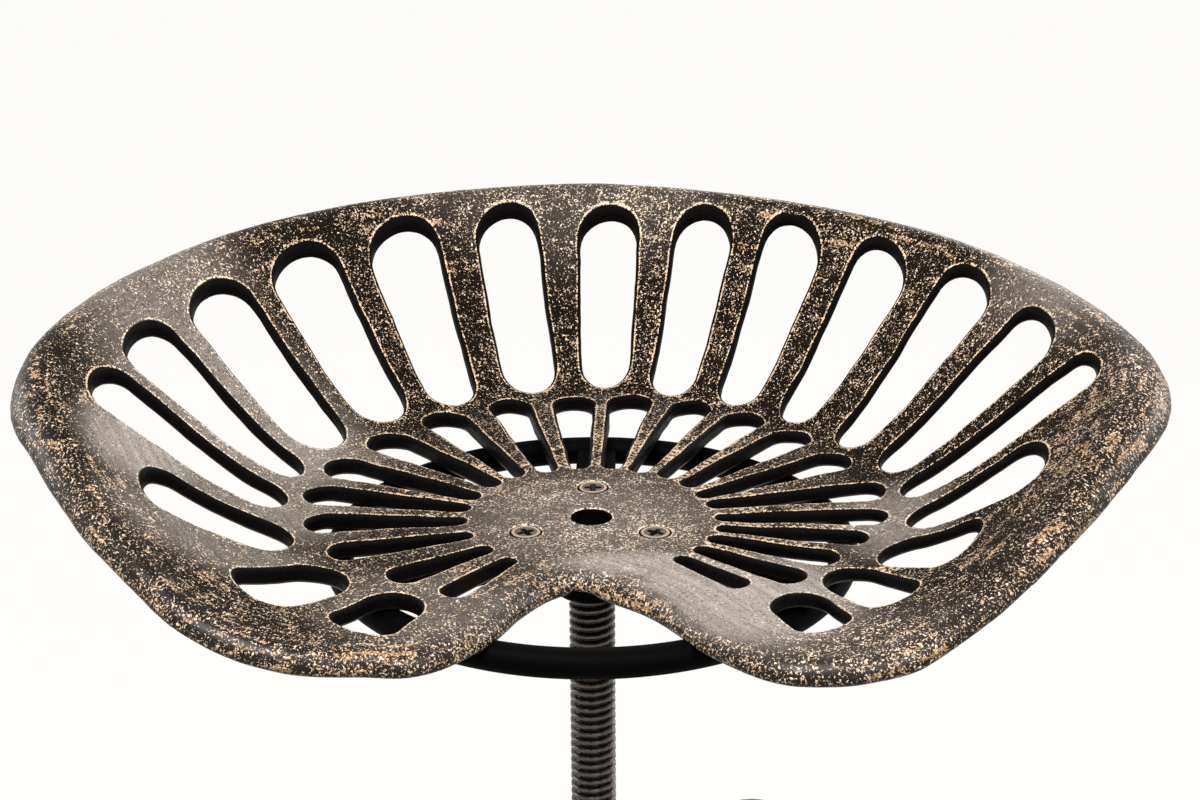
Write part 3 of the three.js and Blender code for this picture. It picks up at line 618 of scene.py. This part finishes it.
inner_slots = [
    (96.9, 95, 0.2145, 0.56, 0.0145, 0.037), (112.5, 108, 0.2155, 0.566, 0.0165, 0.0355),
    (128, 122.8, 0.2205, 0.5545, 0.0165, 0.039), (141.8, 138.8, 0.217, 0.5345, 0.015, 0.041),
    (157.8, 154.7, 0.216, 0.525, 0.0145, 0.0385), (171.3, 169.2, 0.216, 0.508, 0.0135, 0.036),
    (185.2, 183.6, 0.216, 0.484, 0.0115, 0.0335), (201, 199.4, 0.216, 0.454, 0.011, 0.031),
    (218, 218.1, 0.211, 0.402, 0.0115, 0.0275), (233.5, 234.3, 0.214, 0.378, 0.011, 0.0215),
    (81.9, 83.5, 0.215, 0.5695, 0.0145, 0.0375), (68.8, 70.7, 0.2115, 0.563, 0.0155, 0.035),
    (53.8, 58.3, 0.213, 0.5485, 0.017, 0.0365), (39.6, 44.8, 0.211, 0.533, 0.015, 0.036),
    (25.2, 29.9, 0.2055, 0.518, 0.013, 0.0345), (14, 12.8, 0.208, 0.518, 0.0125, 0.034),
    (-0.8, 0.3, 0.216, 0.5, 0.0115, 0.0285), (-12.6, -10.8, 0.222, 0.469, 0.0105, 0.0255),
    (-23.6, -22.8, 0.219, 0.439, 0.0105, 0.0265), (-35.8, -35.6, 0.22, 0.424, 0.0115, 0.0265),
    (-48.6, -47, 0.22, 0.368, 0.0105, 0.0165),
]


def evenly(line, spacing):
    """A closed line of points, spaced evenly along it."""
    around = np.vstack([line, line[:1]])
    run = np.concatenate([[0], np.cumsum(np.hypot(*np.diff(around, axis=0).T))])
    at = np.linspace(0, run[-1], int(round(run[-1] / spacing)), endpoint=False)
    return np.column_stack([np.interp(at, run, around[:, i]) for i in (0, 1)])


def smooth_closed(stations, per_station=16):
    """A closed centripetal Catmull-Rom line through the stations."""
    p0, p1, p2, p3 = (np.roll(stations, shift, axis=0) for shift in (1, 0, -1, -2))
    d0, d1, d2 = (np.hypot(*(b - a).T)[:, None] ** 0.5 for a, b in ((p0, p1), (p1, p2), (p2, p3)))
    t1 = ((p1 - p0) / d0 - (p2 - p0) / (d0 + d1) + (p2 - p1) / d1) * d1
    t2 = ((p2 - p1) / d1 - (p3 - p1) / (d1 + d2) + (p3 - p2) / d2) * d1
    steps = [p1 + t1 * w + (3 * p2 - 3 * p1 - 2 * t1 - t2) * w ** 2 + (2 * p1 - 2 * p2 + t1 + t2) * w ** 3
             for w in np.arange(per_station) / per_station]
    return np.stack(steps, axis=1).reshape(-1, 2)


rim_azimuths, rim_shares = np.array(rim_stations).T
rim_places = (rim_shares * seat_reach)[:, None] * np.column_stack(
    [np.cos(np.radians(rim_azimuths)), np.sin(np.radians(rim_azimuths))])
rim = evenly(smooth_closed(rim_places), rim_step)
rim_angle = np.unwrap(np.arctan2(rim[:, 1], rim[:, 0]))
rim_distance = np.hypot(*rim.T)

secants = np.diff(sections[:, 1:], axis=0) / np.diff(sections[:, 0])[:, None]
knot_slopes = np.vstack([secants[:1], (secants[1:] + secants[:-1]) / 2, secants[-1:]])


def section_at(points):
    """Bend radius, overhang, crest height and steepness in the direction of each point."""
    fold = np.degrees(np.arcsin(np.clip(points[:, 1] / np.hypot(*points.T), -1, 1)))
    knots, values = sections[:, 0], sections[:, 1:]
    i = np.clip(np.searchsorted(knots, fold, "right") - 1, 0, len(knots) - 2)
    step = (knots[i + 1] - knots[i])[:, None]
    t = (fold - knots[i])[:, None] / step
    mixed = ((1 + 2 * t) * (1 - t) ** 2 * values[i] + t * (1 - t) ** 2 * step * knot_slopes[i]
             + t * t * (3 - 2 * t) * values[i + 1] + t * t * (t - 1) * step * knot_slopes[i + 1])
    return mixed.T * np.array([[seat_reach], [seat_reach], [seat_rise], [1]])


def dish_height(points):
    """Height of the dish over the hub face, inside the rim's crest."""
    bend, overhang, crest, steep = section_at(points)
    start = rim_angle[0]
    angle = (np.arctan2(points[:, 1], points[:, 0]) - start) % (2 * np.pi) + start
    edge = np.interp(angle, np.append(rim_angle, start + 2 * np.pi), np.append(rim_distance, rim_distance[0]))
    top = edge - overhang
    bend = np.minimum(bend, top - least_wall)
    share = np.clip((np.hypot(*points.T) - bend) / (top - bend), 0, 1.1)
    return crest * share ** 2 * ((1 - steep) * (3 - 2 * share) + steep)


def slot_outline(row, end_share):
    """A slot from above: a taper between two half ellipses."""
    inner_end, outer_end, inner_half, outer_half = (share * seat_reach for share in row[2:])
    start, end = (radius * np.array([math.cos(math.radians(a)), math.sin(math.radians(a))])
                  for radius, a in ((inner_end, row[0]), (outer_end, row[1])))
    length = math.hypot(*(end - start))
    ahead = (end - start) / length
    aside = np.array([-ahead[1], ahead[0]])
    turn = np.linspace(-math.pi / 2, math.pi / 2, 17)
    depth = outer_half * end_share
    outer = np.column_stack([length - depth + depth * np.cos(turn), outer_half * np.sin(turn)])
    inner = np.column_stack([inner_half - inner_half * np.cos(turn), -inner_half * np.sin(turn)])
    local = np.vstack([outer, inner])
    return evenly(start + local[:, :1] * ahead + local[:, 1:] * aside, slot_step)


def circle_line(centre, radius, count):
    """A circle of points."""
    turn = np.linspace(0, 2 * np.pi, count, endpoint=False)
    return np.array(centre) + radius * np.column_stack([np.cos(turn), np.sin(turn)])


def outward_of(line):
    """The direction that leads out of a closed line, at each of its points."""
    along = np.roll(line, -1, axis=0) - np.roll(line, 1, axis=0)
    along /= np.hypot(*along.T)[:, None]
    return np.column_stack([along[:, 1], -along[:, 0]])


def distance_to(points, line):
    """Distance from each point to a closed line, negative inside it."""
    following = np.roll(line, -1, axis=0)
    step = following - line
    rel = points[:, None, :] - line[None, :, :]
    t = np.clip((rel * step).sum(-1) / (step ** 2).sum(-1), 0, 1)
    gap = np.hypot(*np.moveaxis(rel - t[..., None] * step, -1, 0)).min(axis=1)
    above, above_next = rel[..., 1] < 0, points[:, None, 1] < following[None, :, 1]
    rise = np.where(step[:, 1] == 0, 1e-9, step[:, 1])
    crossing = line[:, 0] - points[:, :1] + rel[..., 1] * step[:, 0] / rise
    inside = ((above != above_next) & (crossing > 0)).sum(axis=1) % 2 == 1
    return np.where(inside, -gap, gap)


def border_distance(points, border):
    """The same for many points and a long line, a part at a time to save memory."""
    return np.concatenate([distance_to(part, border) for part in np.array_split(points, 24)])


def nearest_gap(points, lines, limit):
    """The least distance from each point to any of the lines, as far as a limit."""
    least = np.full(len(points), float(limit))
    for line in lines:
        low, high = line.min(axis=0) - limit, line.max(axis=0) + limit
        near = np.flatnonzero(((points > low) & (points < high)).all(axis=1))
        if len(near):
            least[near] = np.minimum(least[near], distance_to(points[near], line))
    return least


screw_spots = [(screw_circle * math.cos(math.radians(a)), screw_circle * math.sin(math.radians(a)))
               for a in (90, 210, 330)]
slots = [slot_outline(row, wall_end_share) for row in outer_slots]
slots += [slot_outline(row, floor_end_share) for row in inner_slots]
round_holes = [circle_line((0, 0), hub_hole_radius, 36)]
round_holes += [circle_line(spot, countersink_radius, 40) for spot in screw_spots]
holes = slots + round_holes

overhang = section_at(rim)[1]
near_notch = np.clip((notch_start - np.degrees(np.arcsin(rim[:, 1] / np.hypot(*rim.T)))) / notch_ease, 0, 1)
turn_end = rim_turn + (notch_turn - rim_turn) * near_notch  # the lip hangs less at the notch
outward = outward_of(rim)
crest_line = rim - outward * overhang[:, None]


def pierced_sheet(border, holes, widenings, spacing):
    """Triangles between a border and its holes, finer round the holes. Gives points, triangles and loops."""
    free = [(line + by * outward_of(line))[:: 1 if by < 2 else 2] for line in holes for by in widenings]
    least = np.concatenate([np.full(len(ring), by) for ring, by in zip(free, list(widenings) * len(holes))])
    free = np.vstack(free)
    free = free[nearest_gap(free, holes, far_from_lip) > least * 0.85]
    low, high = border.min(axis=0), border.max(axis=0)
    grid = []
    for i, y in enumerate(np.arange(low[1], high[1], spacing * 0.866)):
        x = np.arange(low[0] + (i % 2) * spacing / 2, high[0], spacing)
        grid.append(np.column_stack([x, np.full(len(x), y)]))
    grid = np.vstack(grid)
    grid = grid[nearest_gap(grid, holes, far_from_lip) > widenings[-1] + spacing * 0.45]
    free = np.vstack([free, grid])
    free = free[border_distance(free, border) < -0.9]
    loops, start = [], 0
    for line in [border] + holes:
        loops.append(np.arange(start, start + len(line)))
        start += len(line)
    places = np.vstack([border] + holes + [free])
    edges = [(int(a), int(b)) for loop in loops for a, b in zip(loop, np.roll(loop, -1))]
    points, _, faces, origins, _, _ = delaunay_2d_cdt([Vector(p) for p in places], edges, [], 0, 1e-5)
    plan = np.array([tuple(p) for p in points])
    new_index = np.zeros(len(places), int)
    for new, old in enumerate(origins):
        new_index[old] = new
    triangles = np.array(faces)
    middle = plan[triangles].mean(axis=1)
    solid = (nearest_gap(middle, holes, 3) > 0) & (border_distance(middle, border) < 0)
    return plan, triangles[solid], [new_index[loop] for loop in loops]


def rounding(gap, radius):
    """How far a rounded edge has dropped, at a distance from the edge."""
    inside = np.clip(radius - gap, 0, radius)
    return radius - np.sqrt(radius ** 2 - inside ** 2)


def wall_below(points):
    """The casting's thickness: it runs thinner on the right, where the core sat off centre."""
    share = np.clip((points[:, 0] - thinning_start) / thinning_width, 0, 1)
    return seat_wall - thinning * share ** 2 * (3 - 2 * share)


upper, upper_faces, upper_loops = pierced_sheet(crest_line, holes, (0.45, 1.0, 1.7, 2.5), upper_step)
upper_gap = nearest_gap(upper, slots, far_from_lip)
for loop in upper_loops[1:1 + len(slots)]:
    upper_gap[loop] = 0
round_gap = nearest_gap(upper, round_holes, far_from_lip)
upper_height = dish_height(upper) - rounding(upper_gap, lip_radius) - rounding(round_gap, hole_edge)
upper_gap = np.minimum(upper_gap, np.maximum(round_gap, 0) + 1.7)  # the rub keeps clear of a slot's lip only
under, under_faces, under_loops = pierced_sheet(crest_line, holes, (0.6, 1.3), under_step)
under_gap = nearest_gap(under, slots, far_from_lip)
under_height = dish_height(under) - wall_below(under) + rounding(under_gap, under_lip_radius)

crest_height = dish_height(crest_line)
slope = np.arctan(crest_height - dish_height(crest_line - outward))
roll_radius = overhang / (np.sin(slope) + np.sin(turn_end))
roll_out = roll_radius * np.sin(slope)
roll_up = crest_height - roll_radius * np.cos(slope)


def rim_ring(radius, share):
    """A ring round the rolled rim, at a radius from the roll's own centre and a share of its turn."""
    angle = -slope + (turn_end + slope) * share
    flat = crest_line + outward * (roll_out + radius * np.sin(angle))[:, None]
    return np.column_stack([flat, roll_up + radius * np.cos(angle)])


roll_steps = 9
rim_rings = [rim_ring(roll_radius, share) for share in np.linspace(0, 1, roll_steps + 1)[1:]]
for bead in np.linspace(0, math.pi, 6)[1:-1]:
    middle = rim_ring(roll_radius - rim_wall / 2 * (1 - math.cos(bead)), 1)
    ahead = rim_wall / 2 * math.sin(bead)
    middle[:, :2] += outward * ahead * np.cos(turn_end)[:, None]
    middle[:, 2] -= ahead * np.sin(turn_end)
    rim_rings.append(middle)
crest_wall = wall_below(crest_line) * np.cos(slope)
rim_rings += [rim_ring(roll_radius - (crest_wall * (1 - share) + rim_wall * share), share)
              for share in np.linspace(1, 0, 8)]

# All skins in one list of points: upper, under, the rim's rings, then three rings down each slot's wall.
# Each point carries its distance to a slot's lip, to the rim's edge, and how far it is off the upper skin.
parts = [np.column_stack([upper, upper_height]), np.column_stack([under, under_height])]
gap_parts = [upper_gap, np.full(len(under), far_from_lip)]
wall_parts = [np.zeros(len(upper)), np.ones(len(under))]
rim_parts = [-border_distance(upper, rim), np.full(len(under), far_from_rim)]
triangles = [upper_faces, under_faces[:, ::-1] + len(upper)]
start = len(upper) + len(under)
quads = []
previous = upper_loops[0]
for number, ring in enumerate(rim_rings):
    loop = np.arange(start, start + len(ring))
    parts.append(ring)
    gap_parts.append(np.full(len(ring), far_from_lip))
    wall_parts.append(np.full(len(ring), 0.0 if number < roll_steps + 3 else 1.0))
    rim_parts.append(overhang * max(1 - (number + 1) / roll_steps, -0.5))
    quads.append(np.column_stack([previous, np.roll(previous, -1), np.roll(loop, -1), loop]))
    previous, start = loop, start + len(ring)
last = under_loops[0] + len(upper)
quads.append(np.column_stack([previous, np.roll(previous, -1), np.roll(last, -1), last]))
for upper_loop, under_loop in zip(upper_loops[1:], under_loops[1:]):
    top, bottom = parts[0][upper_loop], parts[1][under_loop]
    previous = upper_loop
    for share, off_skin in ((0.12, 0.6), (0.5, 1.0), (0.88, 1.0)):
        loop = np.arange(start, start + len(upper_loop))
        parts.append(top * (1 - share) + bottom * share)
        gap_parts.append(np.zeros(len(loop)))
        wall_parts.append(np.full(len(loop), off_skin))
        rim_parts.append(np.full(len(loop), far_from_rim))
        quads.append(np.column_stack([np.roll(previous, -1), previous, loop, np.roll(loop, -1)]))
        previous, start = loop, start + len(loop)
    last = under_loop + len(upper)
    quads.append(np.column_stack([np.roll(previous, -1), previous, last, np.roll(last, -1)]))
cast = np.vstack(parts)

# Casting is never true: the outlines wander by a few tenths, in a slow and a quick wave, and the upper skin
# is slightly uneven. The hub is flat, for its screws.
hub_radius, hub_ease, slow_wave, quick_wave = 46, 14, 17, 6
noise.seed_set(4)
for i, point in enumerate(cast):
    away = min(max((math.hypot(point[0], point[1]) - hub_radius) / hub_ease, 0), 1)
    slow = noise.noise_vector(Vector(point) / slow_wave)
    quick = noise.noise_vector(Vector(point) / quick_wave)
    cast[i, 0] += away * (0.55 * slow.x + 0.22 * quick.x)
    cast[i, 1] += away * (0.55 * slow.y + 0.22 * quick.y)
    if i < len(upper):
        cast[i, 2] += (0.1 + 0.25 * away) * slow.z + (0.05 + 0.1 * away) * quick.z
cast[:, 2] += hub_face

# Sand-cast iron, lacquered near black and rubbed with copper by hand. The rub catches the high grain, in
# flakes of about a millimetre, draws a thin line along each slot's lip and runs in short strokes along the
# rim, 34 mm long and 2.3 mm wide. In places a painted sheen turns it to a smooth greyer brown, with less
# copper.
casting, tree, place = finish_tree("cast_iron_copper_rubbed")
stroke_length, stroke_width = 34, 2.3
lip_gap, off_skin, rim_gap = (
    add(tree, "ShaderNodeAttribute", attribute_name=name).outputs["Fac"]
    for name in ("lip_gap", "slot_wall", "rim_gap"))
sideways, _, upwards = add(tree, "ShaderNodeSeparateXYZ", {0: place}).outputs
warp = add(tree, "ShaderNodeTexNoise", {"Vector": place, "Scale": 1 / 2.0, "Detail": 1.0})
bent_place = add(tree, "ShaderNodeVectorMath", {
    0: warp.outputs["Color"], 1: (2.2, 2.2, 2.2), 2: place}, operation="MULTIPLY_ADD")
grain = add(tree, "ShaderNodeTexNoise", {
    "Vector": bent_place, "Scale": 1 / 0.95, "Detail": 3.0, "Roughness": 0.6})
drift = add(tree, "ShaderNodeTexNoise", {"Vector": place, "Scale": 1 / 7, "Detail": 3.0, "Roughness": 0.7})
areas = add(tree, "ShaderNodeTexNoise", {"Vector": place, "Scale": 1 / 45, "Detail": 2.0})
across_rim = add(tree, "ShaderNodeMath", {0: rim_gap, 1: stroke_length / stroke_width}, operation="MULTIPLY")
strokes = add(tree, "ShaderNodeTexNoise", {
    "Vector": place, "W": across_rim, "Scale": 1 / stroke_length, "Detail": 2.0, "Roughness": 0.5},
    noise_dimensions="4D")

# Each mask goes smoothly from 0 to 1 as its measure goes from the first value to the second: distances
# from a slot's lip and from the rim's edge and places in millimetres, then the noises' own levels.
mask = {"off_skin": off_skin}
for name, measure, start, end in (
    ("inside_lip", lip_gap, 1.65, 1.15), ("past_lip", lip_gap, 1.15, 1.65), ("by_lip", lip_gap, 2.6, 1.9),
    ("clear_of_lip", lip_gap, 4, 8), ("rim_edge", rim_gap, 9, 1), ("past_rim_edge", rim_gap, 2, 5),
    ("outside_crest", rim_gap, 12, 7), ("rim_gloss", rim_gap, 16, 2), ("by_rim", rim_gap, 54, 22),
    ("low", upwards, hub_face + 40, hub_face + 15), ("right", sideways, 130, 190),
    ("streak", strokes, 0.545, 0.625), ("brushed", strokes, 0.35, 0.65), ("drifted", drift, 0.40, 0.52),
    ("mottled", drift, 0.35, 0.65), ("pore", grain, 0.47, 0.36), ("bright", grain, 0.5, 0.72),
):
    mask[name] = add(tree, "ShaderNodeMapRange", {0: measure, 1: start, 2: end},
                     interpolation_type="SMOOTHSTEP")

# The zones of painted sheen, greyer and paler where a bright light would shine off the seat, and how much of
# the copper each one hides.
painted_sheen = painted_pale_sheen = 0.0
for centre, reach, sheen_strength, pale_sheen_strength in (  # in millimetres about the screw's axis
    ((-158, 60), (78, 66), 0.85, 0.60), ((-208, 98), (70, 66), 0.75, 0.30), ((66, -80), (58, 56), 0.95, 1.0),
    ((0, -4), (80, 70), 0.70, 0.10), ((-66, -88), (58, 48), 0.40, 0.15), ((100, -122), (62, 42), 0.30, 0.0),
    ((-187, -10), (32, 44), 0.85, 0.9), ((46, -62), (38, 30), 0.90, 0.95), ((20, -47), (44, 17), 0.95, 0.9),
    ((-145, 5), (62, 58), 0.55, 0.4), ((8, -50), (30, 16), 0.85, 0.35), ((215, 95), (50, 60), 0.30, 0.45),
    ((-20, 214), (190, 38), 0.50, 0.0), ((236, 40), (40, 80), 0.20, 0.0), ((-152, -56), (56, 34), 0.50, 0.3),
    ((128, -8), (34, 50), 0.60, 0.45),
):
    off = [-(c + shift * 1000) / r for c, shift, r in zip(centre, screw_axis, reach)]
    spot = add(tree, "ShaderNodeVectorMath", {
        0: place, 1: (1 / reach[0], 1 / reach[1], 0), 2: (*off, 0)}, operation="MULTIPLY_ADD")
    away = add(tree, "ShaderNodeVectorMath", {0: spot}, operation="LENGTH")
    painted_sheen, painted_pale_sheen = (add(tree, "ShaderNodeMath", {
        0: so_far, 1: add(tree, "ShaderNodeMapRange", {0: away, 1: 1.0, 2: 0.3, 4: most},
                          interpolation_type="SMOOTHSTEP")}, operation="MAXIMUM")
        for so_far, most in ((painted_sheen, sheen_strength), (painted_pale_sheen, pale_sheen_strength)))

# Low on the rim, round the lobes and the notch, the painted sheen is kept off the rolled edge, which takes more
# copper.
edge = add(tree, "ShaderNodeMath", {0: mask["rim_edge"], 1: mask["low"]}, operation="MULTIPLY")
within = add(tree, "ShaderNodeMath", {0: 1.0, 1: edge}, operation="SUBTRACT")
painted_sheen, painted_pale_sheen = (add(tree, "ShaderNodeMath", {0: zone, 1: within}, operation="MULTIPLY")
                for zone in (painted_sheen, painted_pale_sheen))
mask["outside_sheen"] = add(tree, "ShaderNodeMapRange", {0: painted_sheen, 1: 0.5, 2: 0.1}, interpolation_type="SMOOTHSTEP")
for name, first, *others in (
    ("stroke", "streak", "by_rim", "drifted", "outside_sheen"), ("lip_line", "by_lip", "past_lip"),
    ("shoulder", "past_rim_edge", "outside_crest", "right"), ("under_skin", "off_skin", "clear_of_lip"),
):
    mask[name] = mask[first]
    for other in others:
        mask[name] = add(tree, "ShaderNodeMath", {0: mask[name], 1: mask[other]}, operation="MULTIPLY")
# The slots' walls and rounded lips take no copper, and are painted near black, darker than the ground, as
# painted shade.
unrubbed_slot_shade = add(tree, "ShaderNodeMath", {0: mask["inside_lip"], 1: off_skin}, operation="MAXIMUM")

# What stands high takes the copper: first come the noises' levels, then what adds to them or takes away.
# The lacquer is glossy at the rim, in the painted sheen zones and on the under side, but not in the slots.
sums = []
for terms in (
    ((grain, 1.0), (drift, 0.34), (areas, 0.13), (mask["stroke"], 0.125), (mask["lip_line"], 0.13),
     (edge, 0.035), (mask["shoulder"], 0.04), (painted_sheen, 0.04), (painted_pale_sheen, -0.11), (unrubbed_slot_shade, -0.30)),
    ((mask["rim_gloss"], 0.35), (painted_sheen, 0.12), (unrubbed_slot_shade, -0.5), (mask["under_skin"], 0.8)),
):
    total = 0.0
    for output, weight in terms:
        total = add(tree, "ShaderNodeMath", {0: output, 1: weight, 2: total}, operation="MULTIPLY_ADD")
    sums.append(total)
high, lacquer = sums
rub = add(tree, "ShaderNodeMapRange", {0: high, 1: 0.808, 2: 0.874}, interpolation_type="SMOOTHSTEP")
pores, copper_in_sheen, metal = (add(tree, "ShaderNodeMath", {0: part, 1: share}, operation="MULTIPLY")
                      for part, share in ((mask["pore"], 0.65), (painted_sheen, 0.8), (rub, 0.25)))

# The ground's tones lie over one another in this order, and the copper's over the ground.
ground, pale_sheen_grey, under_paint, copper = (
    add(tree, "ShaderNodeMix", {0: factor, 6: dark, 7: light}, data_type="RGBA")
    for factor, dark, light in (
        (drift, "0a0603", "1c130b"), (mask["brushed"], "887e76", "a0968e"),
        (mask["mottled"], "15100c", "2e251e"), (mask["bright"], "94724f", "f0dac2")))
# Over the ground lie the painted sheen's greyer brown and its pale streaked grey; the painted sheen pales the
# copper too.
for factor, over in (
    (painted_sheen, "5d534a"), (painted_pale_sheen, pale_sheen_grey), (pores, "0a0706"), (unrubbed_slot_shade, "060404"),
    (mask["under_skin"], under_paint),
):
    ground = add(tree, "ShaderNodeMix", {0: factor, 6: ground, 7: over}, data_type="RGBA")
for factor, over in ((mask["lip_line"], "d8bc9c"), (copper_in_sheen, "eadccc")):
    copper = add(tree, "ShaderNodeMix", {0: factor, 6: copper, 7: over}, data_type="RGBA")
shade = add(tree, "ShaderNodeMix", {0: rub, 6: ground, 7: copper}, data_type="RGBA")
dullness = add(tree, "ShaderNodeMapRange", {0: rub, 3: 0.40, 4: 0.48}, interpolation_type="SMOOTHSTEP")
finish_ended(tree, high, 0.7, 0.0008, {
    "Base Color": shade, "Metallic": metal, "Roughness": dullness, "Specular IOR Level": 0.03,
    "Coat Weight": lacquer, "Coat Roughness": 0.3})

faces = [tuple(face) for block in triangles + quads for face in block.tolist()]
seat = made("seat_casting", cast, faces, casting)
turned_outwards(seat)
for label, amounts in (("lip_gap", gap_parts), ("slot_wall", wall_parts), ("rim_gap", rim_parts)):
    amounts = np.concatenate(amounts).astype(np.float32)
    seat.data.attributes.new(label, "FLOAT", "POINT").data.foreach_set("value", amounts)
fitted(seat, "seat_turn", "seat_casting", "seat")


# ---- Seat screws ----
# Three M6 countersunk screws with a cross recess, flush in the hub. Nickel plated and stained to match.

screw_count, first_screw = 3, math.pi / 2
screw_top = hub_face - 0.05

# Antiqued nickel: a warm grey metal, stained brown on the head's face and black down in the recess. The raised
# edge round the face is rubbed and painted lighter still, as a painted highlight.
nickel, tree, place = finish_tree("nickel_plate_antiqued")
upwards = add(tree, "ShaderNodeSeparateXYZ", {0: place}).outputs["Z"]
# The raised edge's lighter colour is a painted highlight.
edge_highlight, recess = (
    add(tree, "ShaderNodeMapRange", {0: upwards, 1: screw_top - start, 2: screw_top - end},
        interpolation_type="SMOOTHSTEP") for start, end in ((0.16, 0.03), (0.24, 0.40)))
stain = add(tree, "ShaderNodeTexNoise", {"Vector": place, "Scale": 1 / 1.2, "Detail": 4.0, "Roughness": 0.65})
shade = add(tree, "ShaderNodeMix", {0: stain, 6: "352d26", 7: "6e6257"}, data_type="RGBA")
for factor, over in ((edge_highlight, "a2917e"), (recess, "050403")):
    shade = add(tree, "ShaderNodeMix", {0: factor, 6: shade, 7: over}, data_type="RGBA")
dullness = add(tree, "ShaderNodeMapRange", {0: stain, 1: 0.3, 2: 0.7, 3: 0.58, 4: 0.45},
               interpolation_type="SMOOTHSTEP")
finish_ended(tree, stain, 0.2, 0.0002, {
    "Base Color": shade, "Metallic": 0.35, "Roughness": dullness, "Specular IOR Level": 0.2})

blank = turned([(0.01, flange_bottom), (shank_radius, flange_bottom)] + [
    (radius, screw_top - depth) for radius, depth in (
        (shank_radius, 3.6), (6.1, 0.5), (6.25, 0.35), (5.9, 0.06), (5.6, 0), (4.95, 0), (4.8, 0.18),
        (0.01, 0.18))
], 48)
arm, arm_half = 4.1, 1.1
quarter = [(arm - arm_half * 1j), (arm + arm_half * 1j), arm_half * 1.3 * (1 + 1j)]
cross = [corner * 1j ** turn for turn in range(4) for corner in quarter]
punch = rings_joined([np.array([(corner.real * share, corner.imag * share, screw_top + up) for corner in cross])
                      for share, up in ((0.5, -2.4), (0.94, -0.3), (1.04, 0.4))])
helpers = []
for name, (points, faces) in (("screw_blank", blank), ("recess_punch", punch)):
    mesh = bpy.data.meshes.new(name)
    mesh.from_pydata([tuple(point) for point in points], [], faces)
    helpers.append(bpy.data.objects.new(name, mesh))
    bpy.context.scene.collection.objects.link(helpers[-1])
cut = helpers[0].modifiers.new("recess", "BOOLEAN")
cut.object, cut.operation, cut.solver = helpers[1], "DIFFERENCE", "EXACT"
screw = bpy.data.meshes.new_from_object(helpers[0].evaluated_get(bpy.context.evaluated_depsgraph_get()))
for helper in helpers:
    bpy.data.objects.remove(helper)
screw_points = np.array([tuple(v.co) for v in screw.vertices]) + np.array([screw_circle, 0, 0])
screw_faces = [tuple(p.vertices) for p in screw.polygons]
screws = sharpened(set_round_axis(
    "seat_screws_countersunk", screw_points, screw_faces, screw_count, first_screw, nickel))
fitted(screws, "seat_turn", "screw_nickel", "seat_screw_1", "seat_screw_2", "seat_screw_3")
